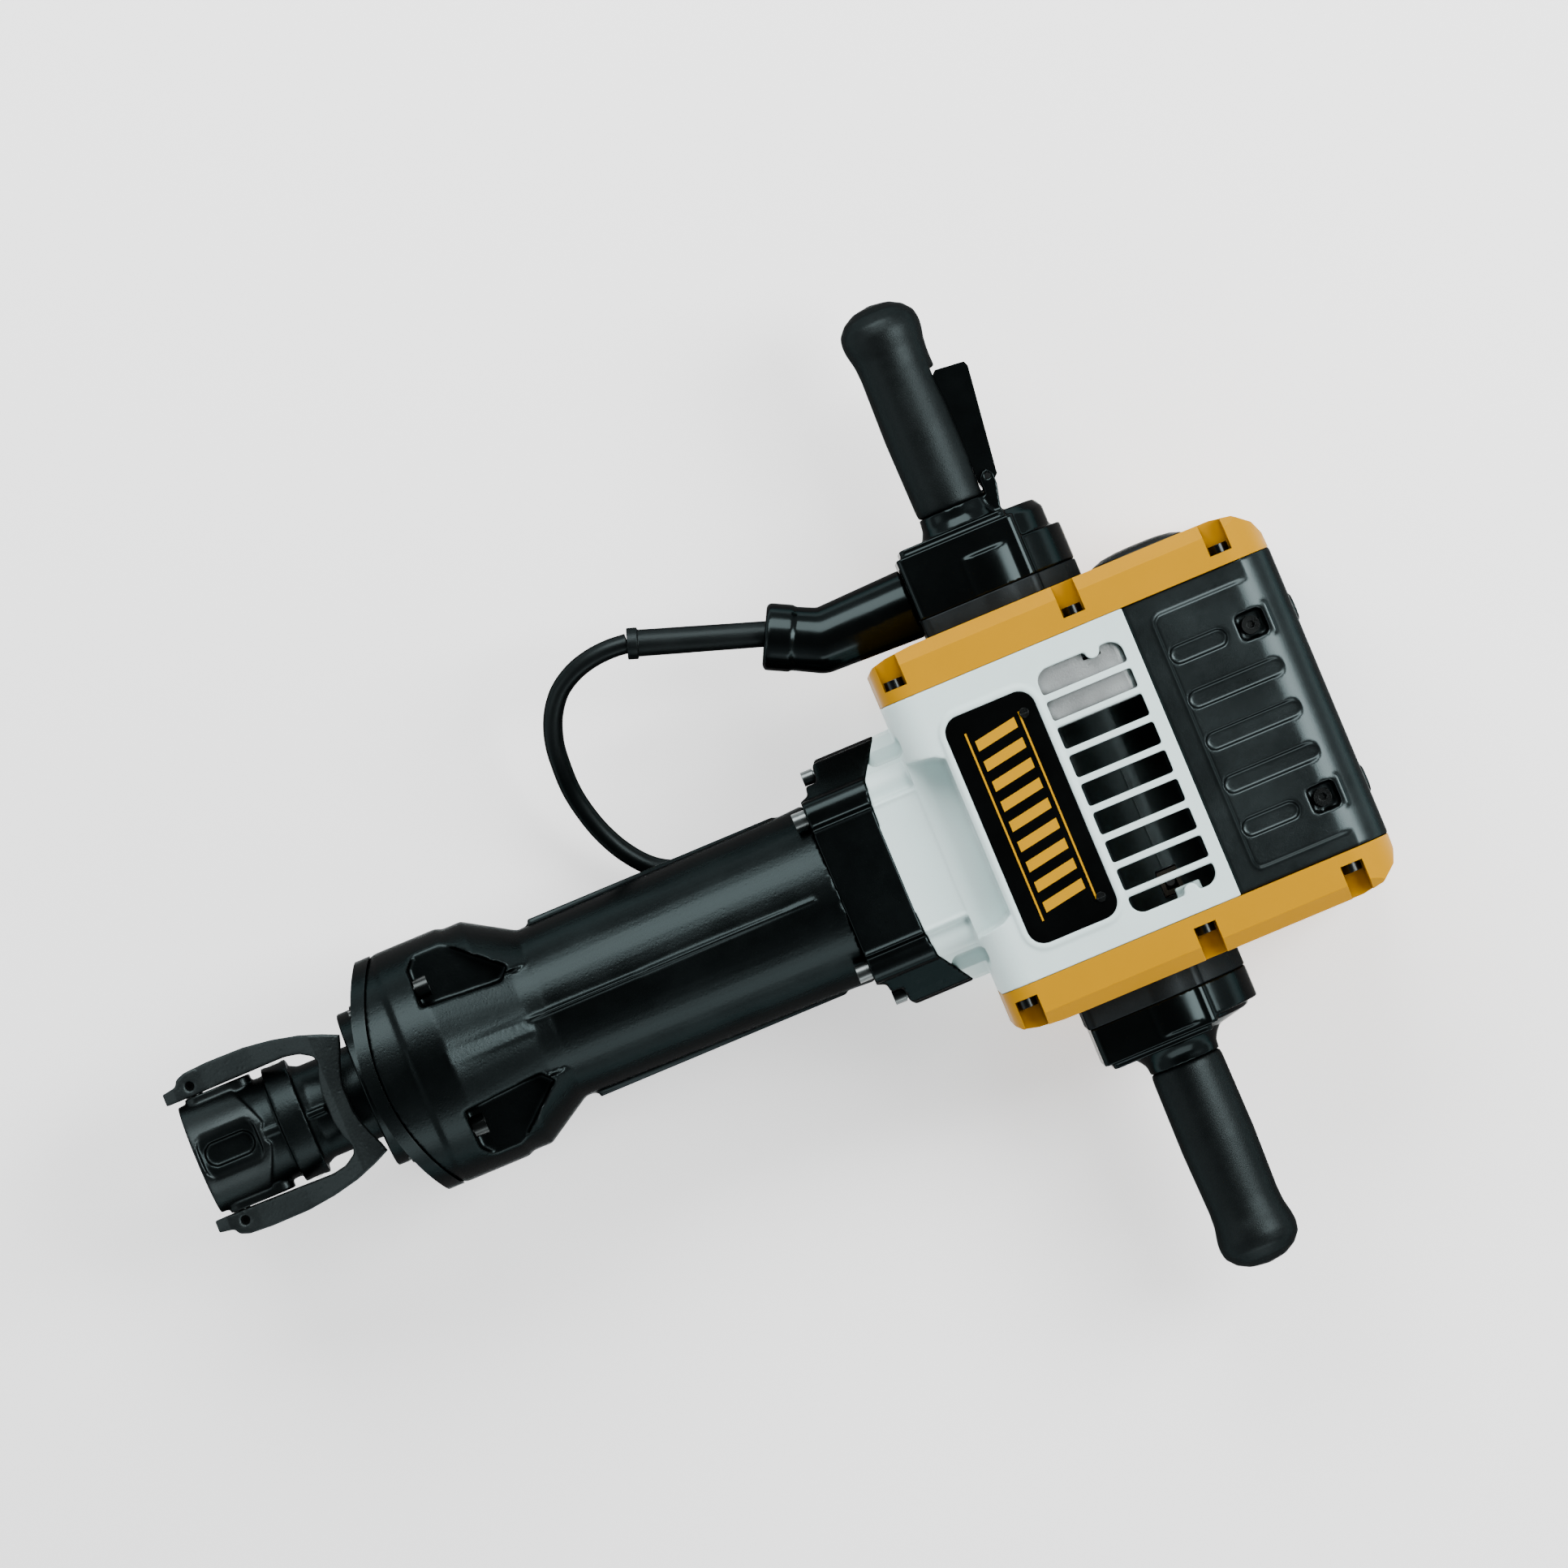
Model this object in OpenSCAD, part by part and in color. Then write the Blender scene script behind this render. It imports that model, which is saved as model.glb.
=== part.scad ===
// Demolition hammer (pavement breaker) with a transverse motor, a crank-driven
// pneumatic hammer mechanism, two side handles and a hinged bit retainer.
// Millimetres. The tool lies on its back: +X runs from nose to rear along the
// tool's axis, +Y points to the switch handle, +Z out of the front face.

/* [Tool] */
// Overall length from the retainer's hooks to the rear cover
tool_l = 800; // [798:1:806]
// Height of the tool's axis above the surface it lies on
axis_h = 102; // [102:1:112]
// Half depth of the motor housing, front to axis
half_depth = 95; // [93:1:97]
// Half width of the motor housing, without the side covers
half_width = 100; // [100:1:101]
// Thickness of each side cover
cover_t = 30; // [29:1:31]

/* [Bit socket] */
// Across flats of the hexagonal socket
hex_af = 29; // [28.8:0.1:29.4]
// Length of the hexagonal socket
hex_l = 110; // [100:1:110]

/* [Hammer mechanism] */
// Bore of the cylinder
cylinder_bore = 60; // [60:1:60]
// Throw of the crank, half the piston's stroke
crank_r = 24; // [20:1:24]
// Distance between the connecting rod's eyes
rod_l = 107; // [104:1:107]
// Running clearance between round parts, on the radius
run_gap = 0.05; // [0.03:0.01:0.08]

/* [Gears] */
// Module of the gears at the crank
crank_module = 2; // [2:1:2]
// Teeth of the crank gear
crank_teeth = 47; // [47:1:47]
// Teeth of the lay shaft's pinion
lay_pinion_teeth = 12; // [12:1:12]
// Module of the gears at the motor
motor_module = 1.25; // [1.25:0.25:1.25]
// Teeth of the lay shaft's wheel
lay_wheel_teeth = 76; // [76:1:76]
// Teeth of the motor's pinion
motor_pinion_teeth = 12; // [12:1:12]

/* [Handles] */
// Radius of the rubber grips
grip_r = 24.5; // [23:0.5:25]
// Length of the rubber grips
grip_l = 142; // [138:1:144]

/* [Supply cord] */
// Diameter of the cord
cord_d = 13; // [13:1:13]

/* [Hidden] */
$fn = 64;

// Places along the tool's axis, from the nose end
nose_x = 6;
flange_x = 124;
flange_x1 = 136.8;
cap_x = 128;
case_x = 456;
neck_x = 497;
block_x = 528;
face_x = 553;
split_x = 694;
rear_x = 798;

// The front of the barrel casting is an arc in plan
arc_r = 165;
arc_cx = cap_x + arc_r;
cap_t = 9;
body_r = 80;
barrel_r1 = 58.5;
barrel_r2 = 61;

wall = 6;
liner_r = cylinder_bore / 2;
crank_x = 552;
motor_x = 657;
crank_pin_x = crank_x - crank_r;
wrist_x = crank_pin_x - rod_l;

// Gears: pitch radii, and the lay shaft where both pairs are in mesh
crank_pitch = crank_module * crank_teeth / 2;
lay_pinion_pitch = crank_module * lay_pinion_teeth / 2;
lay_wheel_pitch = motor_module * lay_wheel_teeth / 2;
motor_pitch = motor_module * motor_pinion_teeth / 2;
reach_1 = crank_pitch + lay_pinion_pitch;
reach_2 = lay_wheel_pitch + motor_pitch;
gap = motor_x - crank_x;
lay_dx = (pow(reach_1, 2) - pow(reach_2, 2) + pow(gap, 2)) / (2 * gap);
lay_x = crank_x + lay_dx;
lay_z = sqrt(pow(reach_1, 2) - pow(lay_dx, 2));
pressure = 25;
backlash = 0.3;

// Handles
handle_x = 622;
turret_x = 627.5;
cover_y = half_width + cover_t;
left_y = [cover_y, 142, 189, 203];
right_y = [cover_y, 144, 174, 188];
grip_end = left_y[3] + grip_l;
grip_end_r = right_y[3] + grip_l;
paddle_x = 650;
paddle_y = 213;

// Frame: centre of the tool in plan, on the surface that it lies on
mid_x = tool_l / 2;
mid_y = (grip_end - grip_end_r) / 2;

// Screws of the side covers, along the tool
cover_screw_x = [541, 665, 767];
cover_screw_z = half_depth - 13;
cover_seat_y = 108;

// Supply cord
cord_r = cord_d / 2;
floor_z = -axis_h;
hank_x = 389;
hank_run = 157;
hank_fold = 3 * cord_d;
hank_layers = 3;
hank_turns = 2;
hank_lift = 0.3;
hank_y = -1;
hank_out = hank_fold + (hank_turns - 0.5) * cord_d;
hank_in = hank_fold - cord_r;
hank_h = hank_layers * cord_d;

// Route of the cord from its strain relief to the hank
cord_route = [
    [392, 203, 0], [380, 204, -1], [366, 203, -4], [352, 199, -8],
    [339, 191, -14], [329, 178, -21], [323, 162, -29], [321, 145, -37],
    [321, 128, -45], [324, 111, -52], [329, 95, -58], [337, 79, -63],
    [348, 65, -67], [361, 56, -69], [377, 51.5, -69.2], [392, 51, -69.2]
];

// Route of the cord from the hank's innermost turn to the plug
tail_route = [
    [466, -40, -95.2], [452, -39.5, -95], [438, -36.5, -94.2], [424, -31, -92.8],
    [410, -23.5, -91], [396, -15, -89], [382, -8, -87.7], [369, -3, -87],
    [358, -1, -87]
];
plug_x = 360;
plug_z = -87;

// ---------------------------------------------------------------- helpers

module placed() { translate([-mid_x, -mid_y, axis_h]) children(); }

// A 2D shape in (y, z), extruded along X
module along_x(x0, x1) {
    translate([x0, 0, 0]) rotate([90, 0, 90]) linear_extrude(x1 - x0) children();
}

// A 2D shape in (x, z), extruded along Y
module along_y(y0, y1) {
    translate([0, y1, 0]) rotate([90, 0, 0]) linear_extrude(y1 - y0) children();
}

// A 2D shape in (x, y), extruded along Z
module along_z(z0, z1) { translate([0, 0, z0]) linear_extrude(z1 - z0) children(); }

// A profile of [radius, x] turned about the tool's axis
module turned_x(profile) { rotate([0, 90, 0]) rotate_extrude() polygon(profile); }

// A profile of [radius, y] turned about an axis along Y through (x, z)
module turned_y(x, z, profile) {
    translate([x, 0, z]) rotate([-90, 0, 0]) rotate_extrude() polygon(profile);
}

module rod_x(r, x0, x1, y = 0, z = 0) {
    translate([x0, y, z]) rotate([0, 90, 0]) cylinder(r = r, h = x1 - x0);
}

module rod_y(r, y0, y1, x = 0, z = 0) {
    translate([x, y0, z]) rotate([-90, 0, 0]) cylinder(r = r, h = y1 - y0);
}

module rod_z(r, z0, z1, x = 0, y = 0) { translate([x, y, z0]) cylinder(r = r, h = z1 - z0); }

module ring_x(r_out, r_in, x0, x1) {
    difference() {
        rod_x(r_out, x0, x1);
        rod_x(r_in, x0 - 1, x1 + 1);
    }
}

module ring_y(r_out, r_in, y0, y1, x, z) {
    difference() {
        rod_y(r_out, y0, y1, x, z);
        rod_y(r_in, y0 - 1, y1 + 1, x, z);
    }
}

module block(x, y, z) {
    translate([x[0], y[0], z[0]]) cube([x[1] - x[0], y[1] - y[0], z[1] - z[0]]);
}

// A rectangle between two corners, with true round corners
module round_rect(x0, x1, y0, y1, r) {
    translate([x0 + r, y0]) square([x1 - x0 - 2 * r, y1 - y0]);
    translate([x0, y0 + r]) square([x1 - x0, y1 - y0 - 2 * r]);
    for (x = [x0 + r, x1 - r], y = [y0 + r, y1 - r]) translate([x, y]) circle(r);
}

module both_y() {
    children();
    mirror([0, 1, 0]) children();
}

module both_z() {
    children();
    mirror([0, 0, 1]) children();
}

module four() { both_y() both_z() children(); }

module socket_bolt_x(head_r, head_l, shank_r, shank_l, y, z, x, turn = 1) {
    // Head towards -X for turn 1, towards +X for turn -1, seated at x
    translate([x, y, z]) half_turn(turn) {
        difference() {
            rod_x(head_r, -head_l, 0);
            rod_x(head_r * 0.55, -head_l - 1, -head_l * 0.45, $fn = 6);
        }
        rod_x(shank_r, 0, shank_l);
    }
}

module half_turn(turn) { rotate([0, 0, turn > 0 ? 0 : 180]) children(); }

module bearing_y(r_out, r_in, y0, y1, x, z) {
    race = (r_out - r_in) * 0.28;
    ball = (r_out - r_in) * 0.2;
    ball_ring = (r_out + r_in) / 2;
    ring_y(r_out, r_out - race, y0, y1, x, z);
    ring_y(r_in + race, r_in, y0, y1, x, z);
    for (i = [0 : 7])
        translate([x, (y0 + y1) / 2, z]) rotate([0, i * 45, 0])
            translate([ball_ring, 0, 0]) sphere(r = ball, $fn = 24);
}

// ------------------------------------------------------------------ gears

// A point on the involute of base circle rb at radius r, turned by a degrees
function involute(rb, r) = tan(acos(rb / r)) * 180 / PI - acos(rb / r);
function spin(r, a) = [r * cos(a), r * sin(a)];

function tooth(m, n, i) =
    let (
        rp = m * n / 2,
        rb = rp * cos(pressure),
        ra = rp + 0.9 * m,
        rr = rp - 1.2 * m,
        r0 = max(rb + 0.02, rr + 0.1 * m),
        half = 90 / n - backlash / rp * 90 / PI / 2,
        at = involute(rb, rp),
        c = 360 * i / n,
        steps = [0, 0.35, 0.7, 1],
        rs = [for (k = steps) r0 + (ra - r0) * k],
        root = min(180 / n - 0.6, half + at - involute(rb, r0) + 0.4)
    )
    concat(
        [spin(rr, c - root)],
        [for (r = rs) spin(r, c - half - at + involute(rb, r))],
        [for (k = [3 : -1 : 0]) spin(rs[k], c + half + at - involute(rb, rs[k]))],
        [spin(rr, c + root)]
    );

function gear_outline(m, n) = [for (i = [0 : n - 1]) each tooth(m, n, i)];

// A spur gear about an axis along Y, with a tooth at angle a in the (x, z) plane
module gear_y(m, n, y0, y1, x, z, a, bore) {
    difference() {
        translate([x, 0, z]) along_y(y0, y1) rotate(a) polygon(gear_outline(m, n));
        rod_y(bore, y0 - 1, y1 + 1, x, z);
    }
}

// ------------------------------------------------------------- nose, retainer

hex_r = hex_af / 2 / cos(30);
bushing_r = 24;
bushing_x = 9;
bail_x = 19;
bail_in = 40.3;
pin_r = 6;

// Plan of the forged jaw at the mouth of the nose
module jaw_plan() {
    polygon([
        [nose_x, -40], [nose_x, 40], [39, 40], [44, 32], [51, 18], [55, 8],
        [51, 0], [55, -8], [51, -18], [44, -32], [39, -40]
    ]);
}

module nose_barrel() {
    color("dimgray") difference() {
        union() {
            rod_x(35, nose_x, 66);
            intersection() {
                rod_x(37, nose_x, 60);
                along_z(-40, 40) jaw_plan();
            }
            rod_x(39.5, 65, 82);
            turned_x([[0, 82], [35, 82], [32, 88], [32, 150], [0, 150]]);
            both_y() intersection() {
                along_y(30, 39.8) round_rect(12, 57, -14, 14, 8);
                rod_x(42, 6, 66);
            }
            both_z() block([48, 96], [-2.2, 2.2], [30, 36.2]);
        }
        rod_x(bushing_r + 0.02, bushing_x, bushing_x + hex_l);
        rod_x(18, nose_x - 1, 160);
        both_z() along_z(28.5, 42) round_rect(12, 46, -8, 8, 7.5);
        both_z() along_z(33.4, 42) round_rect(9, 49, -17, 17, 10);
        both_y() rod_y(pin_r + run_gap, 28, 42, bail_x);
        both_y() rod_y(5, 30, 42, 73.5);
    }
}

module hex_bushing() {
    color("silver") difference() {
        rod_x(bushing_r, bushing_x, bushing_x + hex_l);
        rotate([0, 90, 0]) cylinder(r = hex_r, h = 200, $fn = 6);
    }
}

// Plan of the bail on the +Y side: outside from the hook to the bridge, and
// inside from the bridge back to the hook
bail_outer = [
    [0, 48.5], [10, 50], [12, 54], [18, 56.4], [34, 57.4], [60, 57], [80, 54.5],
    [98, 50.5], [112, 45.5], [123, 40.5], [121, 34], [117.5, 26], [114, 16], [112.4, 8]
];
bail_inner = [
    [97.8, 10], [100, 20], [103.5, 29], [102, 34], [94, 39], [84, bail_in + 0.6],
    [12, bail_in], [0, bail_in]
];

function mirrored(p) = [for (i = [len(p) - 1 : -1 : 0]) [p[i][0], -p[i][1]]];

module retainer_bail() {
    color("dimgray") difference() {
        intersection() {
            along_z(-30, 60)
                polygon(concat(bail_outer, mirrored(bail_outer), mirrored(bail_inner), bail_inner));
            along_y(-60, 60) polygon([
                [0, -6], [3, -8], [12, -11], [26, -11], [62, 4], [97, 32.8],
                [126, 32.8], [126, 42], [122, 46], [104, 46], [64, 25],
                [28, 13], [8, 11], [0, 7]
            ]);
        }
        both_y() rod_y(pin_r, 38, 54, bail_x);
        both_y() rod_z(3, -20, 20, bail_x, 47);
    }
}

module bail_pivot_pins() {
    color("silver") both_y() difference() {
        rod_y(pin_r, 29, 53.9, bail_x);
        rod_z(3, -20, 20, bail_x, 47);
    }
}

module bail_roll_pins() {
    color("gray") both_y() difference() {
        rod_z(3, -9, 9, bail_x, 47);
        both_z() rod_z(1.6, 6, 10, bail_x, 47);
    }
}

module bail_detents() {
    color("gray") both_y() {
        rod_y(4.95, 30.1, 38.6, 73.5);
        intersection() {
            translate([73.5, 36, 0]) sphere(r = 4.2);
            rod_y(5, 38.6, 42, 73.5);
        }
    }
}

module nose_flange() {
    color("dimgray") difference() {
        rod_x(53, flange_x, flange_x1);
        rod_x(32.02, flange_x - 1, flange_x1 + 1);
    }
}

// ---------------------------------------------------------------- barrel

bolt_at = 48;

module front_cap() {
    color("dimgray") difference() {
        union() {
            intersection() {
                rod_x(body_r, 120, 165);
                difference() {
                    rod_z(arc_r, -90, 90, arc_cx);
                    rod_z(arc_r - cap_t, -91, 91, arc_cx);
                }
                block([110, 170], [-90, 90], [-90, 90]);
            }
            rod_x(55, flange_x1 - 3, 150);
        }
        rod_x(53, 110, flange_x1);
        rod_x(32.02, 110, 180);
        four() rod_x(4.2, 120, 180, bolt_at, bolt_at);
    }
}

module barrel_housing() {
    color("dimgray") difference() {
        union() {
            difference() {
                intersection() {
                    turned_x([
                        [0, 130], [78.5, 130], [78.5, 158], [body_r, 162],
                        [body_r, 205], [78, 209], [78, 222], [barrel_r1, 254],
                        [barrel_r2, 440], [barrel_r2 + 1, case_x],
                        [0, case_x]
                    ]);
                    union() {
                        rod_z(arc_r - cap_t, -90, 90, arc_cx);
                        block([250, case_x + 1], [-90, 90], [-90, 90]);
                    }
                }
                // Wrench pockets behind the four bolts
                four() along_z(39, 95) polygon([
                    [179, 36], [179.5, 62], [190, 74], [204, 72], [241, 40], [233, 32]
                ]);
                // Ramps on the front and back, between the pockets
                both_z() intersection() {
                    turned_x([[80.4, 183], [100, 183], [100, 256], [58.6, 256], [60.6, 241]]);
                    block([182, 257], [-36.5, 36.5], [30, 100]);
                }
            }
            // Parting ribs of the casting
            block([238, 440], [1.6, 3.4], [54, 62.4]);
            for (y = [-5, -1, 3]) intersection() {
                block([180, 241], [y - 1, y + 1], [50, 81]);
                turned_x([[0, 183], [80.4, 183], [61.8, 240], [0, 240]]);
            }
            both_y() block([262, 436], [58, 62.8], [-1.2, 1.2]);
        }
        rod_x(55, 120, 150);
        rod_x(44, 149, 262);
        rod_x(37.02, 261, case_x + 1);
        four() rod_x(4.2, 120, 190, bolt_at, bolt_at);
    }
}

module front_cap_bolts() {
    color("silver") four()
        socket_bolt_x(7, 9, 4.1, 46, bolt_at, bolt_at, 180, -1);
}

// ------------------------------------------------------- hammer mechanism

module anvil_sleeve() {
    color("silver") ring_x(43.95, 26 + run_gap, 152, 216);
}

module anvil() {
    color("silver") turned_x([
        [0, 160], [24, 160], [26, 163], [26, 217], [34, 219], [34, 230],
        [22, 233], [22, 252], [20, 254], [0, 254]
    ]);
}

module damper_ring() {
    color([0.12, 0.12, 0.12]) ring_x(43.9, 24.5, 242, 251.9);
}

module cylinder_liner() {
    color("silver") difference() {
        union() {
            rod_x(43.95, 252, 261.9);
            rod_x(37, 252, 470);
        }
        rod_x(22 + run_gap, 251, 300);
        rod_x(liner_r, 266, 471);
        // Air holes
        for (a = [0 : 60 : 300]) rotate([a, 0, 0]) rod_z(2, 20, 50, 352);
    }
}

ram_x = [268, 343];

module ram() {
    r = liner_r - run_gap;
    color("silver") difference() {
        turned_x([
            [0, ram_x[0]], [18, ram_x[0]], [20, ram_x[0] + 2], [20, 282],
            [r, 288], [r, ram_x[1] - 2], [r - 2, ram_x[1]], [0, ram_x[1]]
        ]);
        ring_x(r + 2, 27.2, 326, 330);
    }
}

module ram_seal() { color([0.1, 0.1, 0.1]) ring_x(liner_r - run_gap, 27.3, 326.1, 329.9); }

piston_x = [378, 440];

module piston() {
    r = liner_r - run_gap;
    color("lightgray") difference() {
        turned_x([
            [0, piston_x[0]], [r - 1, piston_x[0]], [r, piston_x[0] + 1],
            [r, piston_x[1]], [0, piston_x[1]]
        ]);
        ring_x(r + 2, 27.2, 386, 390);
        rod_x(22.5, 398, piston_x[1] + 1);
        rod_y(8, -32, 32, wrist_x);
    }
}

module piston_seal() { color([0.1, 0.1, 0.1]) ring_x(liner_r - run_gap, 27.3, 386.1, 389.9); }

module wrist_pin() { color("silver") rod_y(8, -27.5, 27.5, wrist_x); }

rod_y0 = 8;

module connecting_rod() {
    color("lightgray") difference() {
        union() {
            rod_y(14, -rod_y0, rod_y0, wrist_x);
            rod_y(20, -rod_y0, rod_y0, crank_pin_x);
            along_y(-rod_y0, rod_y0) polygon([
                [wrist_x, -9], [crank_pin_x, -12], [crank_pin_x, 12], [wrist_x, 9]
            ]);
        }
        rod_y(8 + run_gap, -20, 20, wrist_x);
        rod_y(14.5, -20, 20, crank_pin_x);
        both_y() along_y(5, 9)
            round_rect(wrist_x + 20, crank_pin_x - 26, -5, 5, 4.9);
    }
}

module big_end_bearing() {
    color("silver") ring_y(14.5, 11.5, -rod_y0, rod_y0, crank_pin_x, 0);
}

// ------------------------------------------------------------- crank, gears

crank_y = [12, 30];
wheel_y = [62, 72];
shaft_r = 12;

module crankshaft() {
    color("silver") {
        rod_y(shaft_r, crank_y[0], 59, crank_x);
        rod_y(11, 8.4, crank_y[0] + 12, crank_pin_x);
    }
}

module crank_gear() {
    color("silver") difference() {
        gear_y(crank_module, crank_teeth, crank_y[0], crank_y[1], crank_x, 0, 0, shaft_r);
        rod_y(11, 0, crank_y[0] + 12, crank_pin_x);
        for (a = [-70, -35, 0, 35, 70]) translate([crank_x, 0, 0]) rotate([0, a, 0])
            rod_y(5.5, 0, 40, 31);
    }
}

module bearing_carrier() {
    color("lightgray") ring_y(32.9, 26, 31.5, 60, crank_x, 0);
}

// Turn of a pinion so that it meshes with a wheel whose first tooth is at 0,
// when the line from the wheel's centre to the pinion's is at angle a
function mesh_turn(a, wheel_teeth, pinion_teeth) =
    a + 180 - (180 - a * wheel_teeth) / pinion_teeth;

lay_pinion_a = mesh_turn(atan2(lay_z, lay_dx), crank_teeth, lay_pinion_teeth);
motor_a = mesh_turn(atan2(-lay_z, motor_x - lay_x), lay_wheel_teeth, motor_pinion_teeth);

module lay_shaft() {
    color("silver") {
        gear_y(crank_module, lay_pinion_teeth, crank_y[0] - 1, crank_y[1] + 1, lay_x,
               lay_z, lay_pinion_a, 5);
        gear_y(motor_module, lay_wheel_teeth, wheel_y[0], wheel_y[1], lay_x, lay_z, 0, 8);
        rod_y(8, crank_y[1] + 1, 92, lay_x, lay_z);
        rod_y(5, crank_y[0] - 1, 40, lay_x, lay_z);
    }
}

module ball_bearings() {
    color("silver") {
        bearing_y(26, shaft_r + run_gap, 32, 44, crank_x, 0);
        bearing_y(26, shaft_r + run_gap, 47, 59, crank_x, 0);
        bearing_y(16, 8 + run_gap, 46, 56, lay_x, lay_z);
        bearing_y(16, 8 + run_gap, 80, 90, lay_x, lay_z);
        bearing_y(13, 6 + run_gap, -97, -88, motor_x, 0);
        bearing_y(13, 6 + run_gap, 46, 55, motor_x, 0);
    }
}

box_y = [44, 99.8];
box_x = [588, 690];
box_z = half_depth - wall;

module gear_box() {
    color("lightgray") difference() {
        union() {
            difference() {
                along_y(box_y[0], box_y[1])
                    round_rect(box_x[0], box_x[1], -box_z, box_z, 10);
                along_y(box_y[0] + 14, box_y[1] + 1)
                    round_rect(box_x[0] + 5, box_x[1] - 5, -box_z + 5, box_z - 5, 6);
            }
        }
        // Clearance for the crank's carrier and the lay wheel
        rod_y(34, 30, 110, crank_x);
        rod_y(50, 60, 110, lay_x, lay_z);
        rod_y(16, 46, 120, lay_x, lay_z);
        rod_y(10, 40, 60, lay_x, lay_z);
        rod_y(13, 46, 70, motor_x);
        rod_y(8, 40, 70, motor_x);
        both_z() rod_y(9.3, 78, 101, 665, cover_screw_z);
    }
}

// ---------------------------------------------------------------- motor

module rotor() {
    color("silver") {
        rod_y(6, -97, 60, motor_x);
        rod_y(4, 60, 74, motor_x);
        difference() {
            ring_y(24, 6, -58, 18, motor_x, 0);
            for (a = [0 : 30 : 330]) translate([motor_x, 0, 0]) rotate([0, a, 0])
                block([20.5, 25], [-59, 19], [-1.2, 1.2]);
        }
        ring_y(15, 6, -84, -66, motor_x, 0);
    }
}

module motor_pinion() {
    color("silver")
        gear_y(motor_module, motor_pinion_teeth, 60, 74, motor_x, 0, motor_a, 4);
}

module cooling_fan() {
    color([0.15, 0.15, 0.15]) {
        ring_y(37, 6, 24, 26, motor_x, 0);
        ring_y(11, 6, 26, 38, motor_x, 0);
        for (a = [0 : 30 : 330]) translate([motor_x, 0, 0]) rotate([0, a, 0])
            block([10.8, 36], [26, 38], [-0.9, 0.9]);
    }
}

module stator() {
    color([0.45, 0.25, 0.12]) {
        ring_y(38.4, 24.6, -58, 18, motor_x, 0);
        ring_y(36, 26, -65, -58, motor_x, 0);
        ring_y(36, 26, 18, 23, motor_x, 0);
    }
}

module motor_can() {
    color([0.12, 0.12, 0.12]) difference() {
        union() {
            ring_y(40.8, 38.5, -90, 43.8, motor_x, 0);
            for (a = [0 : 45 : 315]) translate([motor_x, 0, 0]) rotate([0, a, 0])
                block([40, 43], [-88, 8], [-1.5, 1.5]);
        }
        for (a = [90, 270]) translate([motor_x, 0, 0]) rotate([0, a, 0])
            block([30, 50], [-84, -66], [-7, 7]);
    }
}

module brush_holders() {
    color("goldenrod") both_z() difference() {
        block([motor_x - 6.8, motor_x + 6.8], [-83, -67], [17, 52]);
        block([motor_x - 4, motor_x + 4], [-80, -70], [16, 53]);
    }
}

module carbon_brushes() {
    color([0.2, 0.2, 0.2]) both_z() {
        block([motor_x - 3.95, motor_x + 3.95], [-79.95, -70.05], [15.3, 32]);
        rod_z(3, 32, 50, motor_x, -75);
    }
}

// ------------------------------------------------------------- gear case

bolt_in = [53, 45];
bolt_out = [77, 0];

// Cross-section of the neck, shared by the gear case and the motor housing
module neck_section() {
    round_rect(-45.5, 45.5, -61, 61, 4);
    for (y = [-1, 1], z = [-1, 1]) translate([y * bolt_in[0], z * bolt_in[1]]) circle(10.5);
    for (y = [-1, 1]) translate([y * (86 - 14), 0]) circle(14);
    polygon([
        [-50, -55], [50, -55], [63, -42], [84, -14], [84, 14], [63, 42],
        [50, 55], [-50, 55], [-63, 42], [-84, 14], [-84, -14], [-63, -42]
    ]);
    for (y = [-1, 1], z = [-1, 1]) translate([y * 43.4, z * 61]) circle(1.2);
}

// Plan of the black gear case; the motor housing takes the rest of the neck
module case_plan() {
    polygon([
        [case_x, -64], [462, -66], [463, -72], [471, -72], [472, -82], [476, -87],
        [517, -87], [500, -61], [498, -46], [neck_x, -30], [neck_x, 30],
        [498, 46], [500, 61], [517, 87], [476, 87], [472, 82], [471, 72],
        [463, 72], [462, 66], [case_x, 64]
    ]);
}

module case_cavity(x0, x1) {
    along_x(x0, x1) round_rect(-40, 40, -52, 52, 12);
}

module gear_case() {
    color("dimgray") difference() {
        intersection() {
            along_x(case_x - 2, 520) neck_section();
            along_z(-90, 90) case_plan();
        }
        rod_x(37.02, 440, 471);
        case_cavity(471, 530);
        four() rod_x(3.6, 440, 530, bolt_in[0], bolt_in[1]);
        both_y() rod_x(3.6, 440, 530, bolt_out[0], bolt_out[1]);
    }
}

module gear_case_bolts() {
    color("silver") {
        four() socket_bolt_x(6, 9, 3.5, 60, bolt_in[0], bolt_in[1], case_x);
        both_y() socket_bolt_x(4.9, 8, 3.5, 52, bolt_out[0], bolt_out[1], 471);
    }
}

// --------------------------------------------------------- motor housing

vent_x = [626, 685];
vent_bars = [64.7, 46.9, 27.4, 7.6, -12.3, -32.2, -51.6, -71];
bar_t = 4.6;
vent_y = [-86, 83];
plate_x = [558, 620];
plate_y = [-80.5, 77];
plate_screw_x = 610.5;
plate_screw_y = [62, -66];

// Side outline of the motor block, t inside its faces: in (x, z), with its nose
// end at x0 rounded by r0 and its rear end at x1 rounded by r1
module block_outline(x0, x1, r0, r1, t = 0) {
    h = half_depth - t;
    translate([x0 + r0, -h]) square([x1 - x0 - r0 - r1, 2 * h]);
    translate([x0, -h + r0]) square([r0, 2 * (h - r0)]);
    translate([x1 - r1, -h + r1]) square([r1, 2 * (h - r1)]);
    for (z = [-1, 1]) {
        translate([x0 + r0, z * (h - r0)]) circle(r0);
        translate([x1 - r1, z * (h - r1)]) circle(r1);
    }
}

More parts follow.
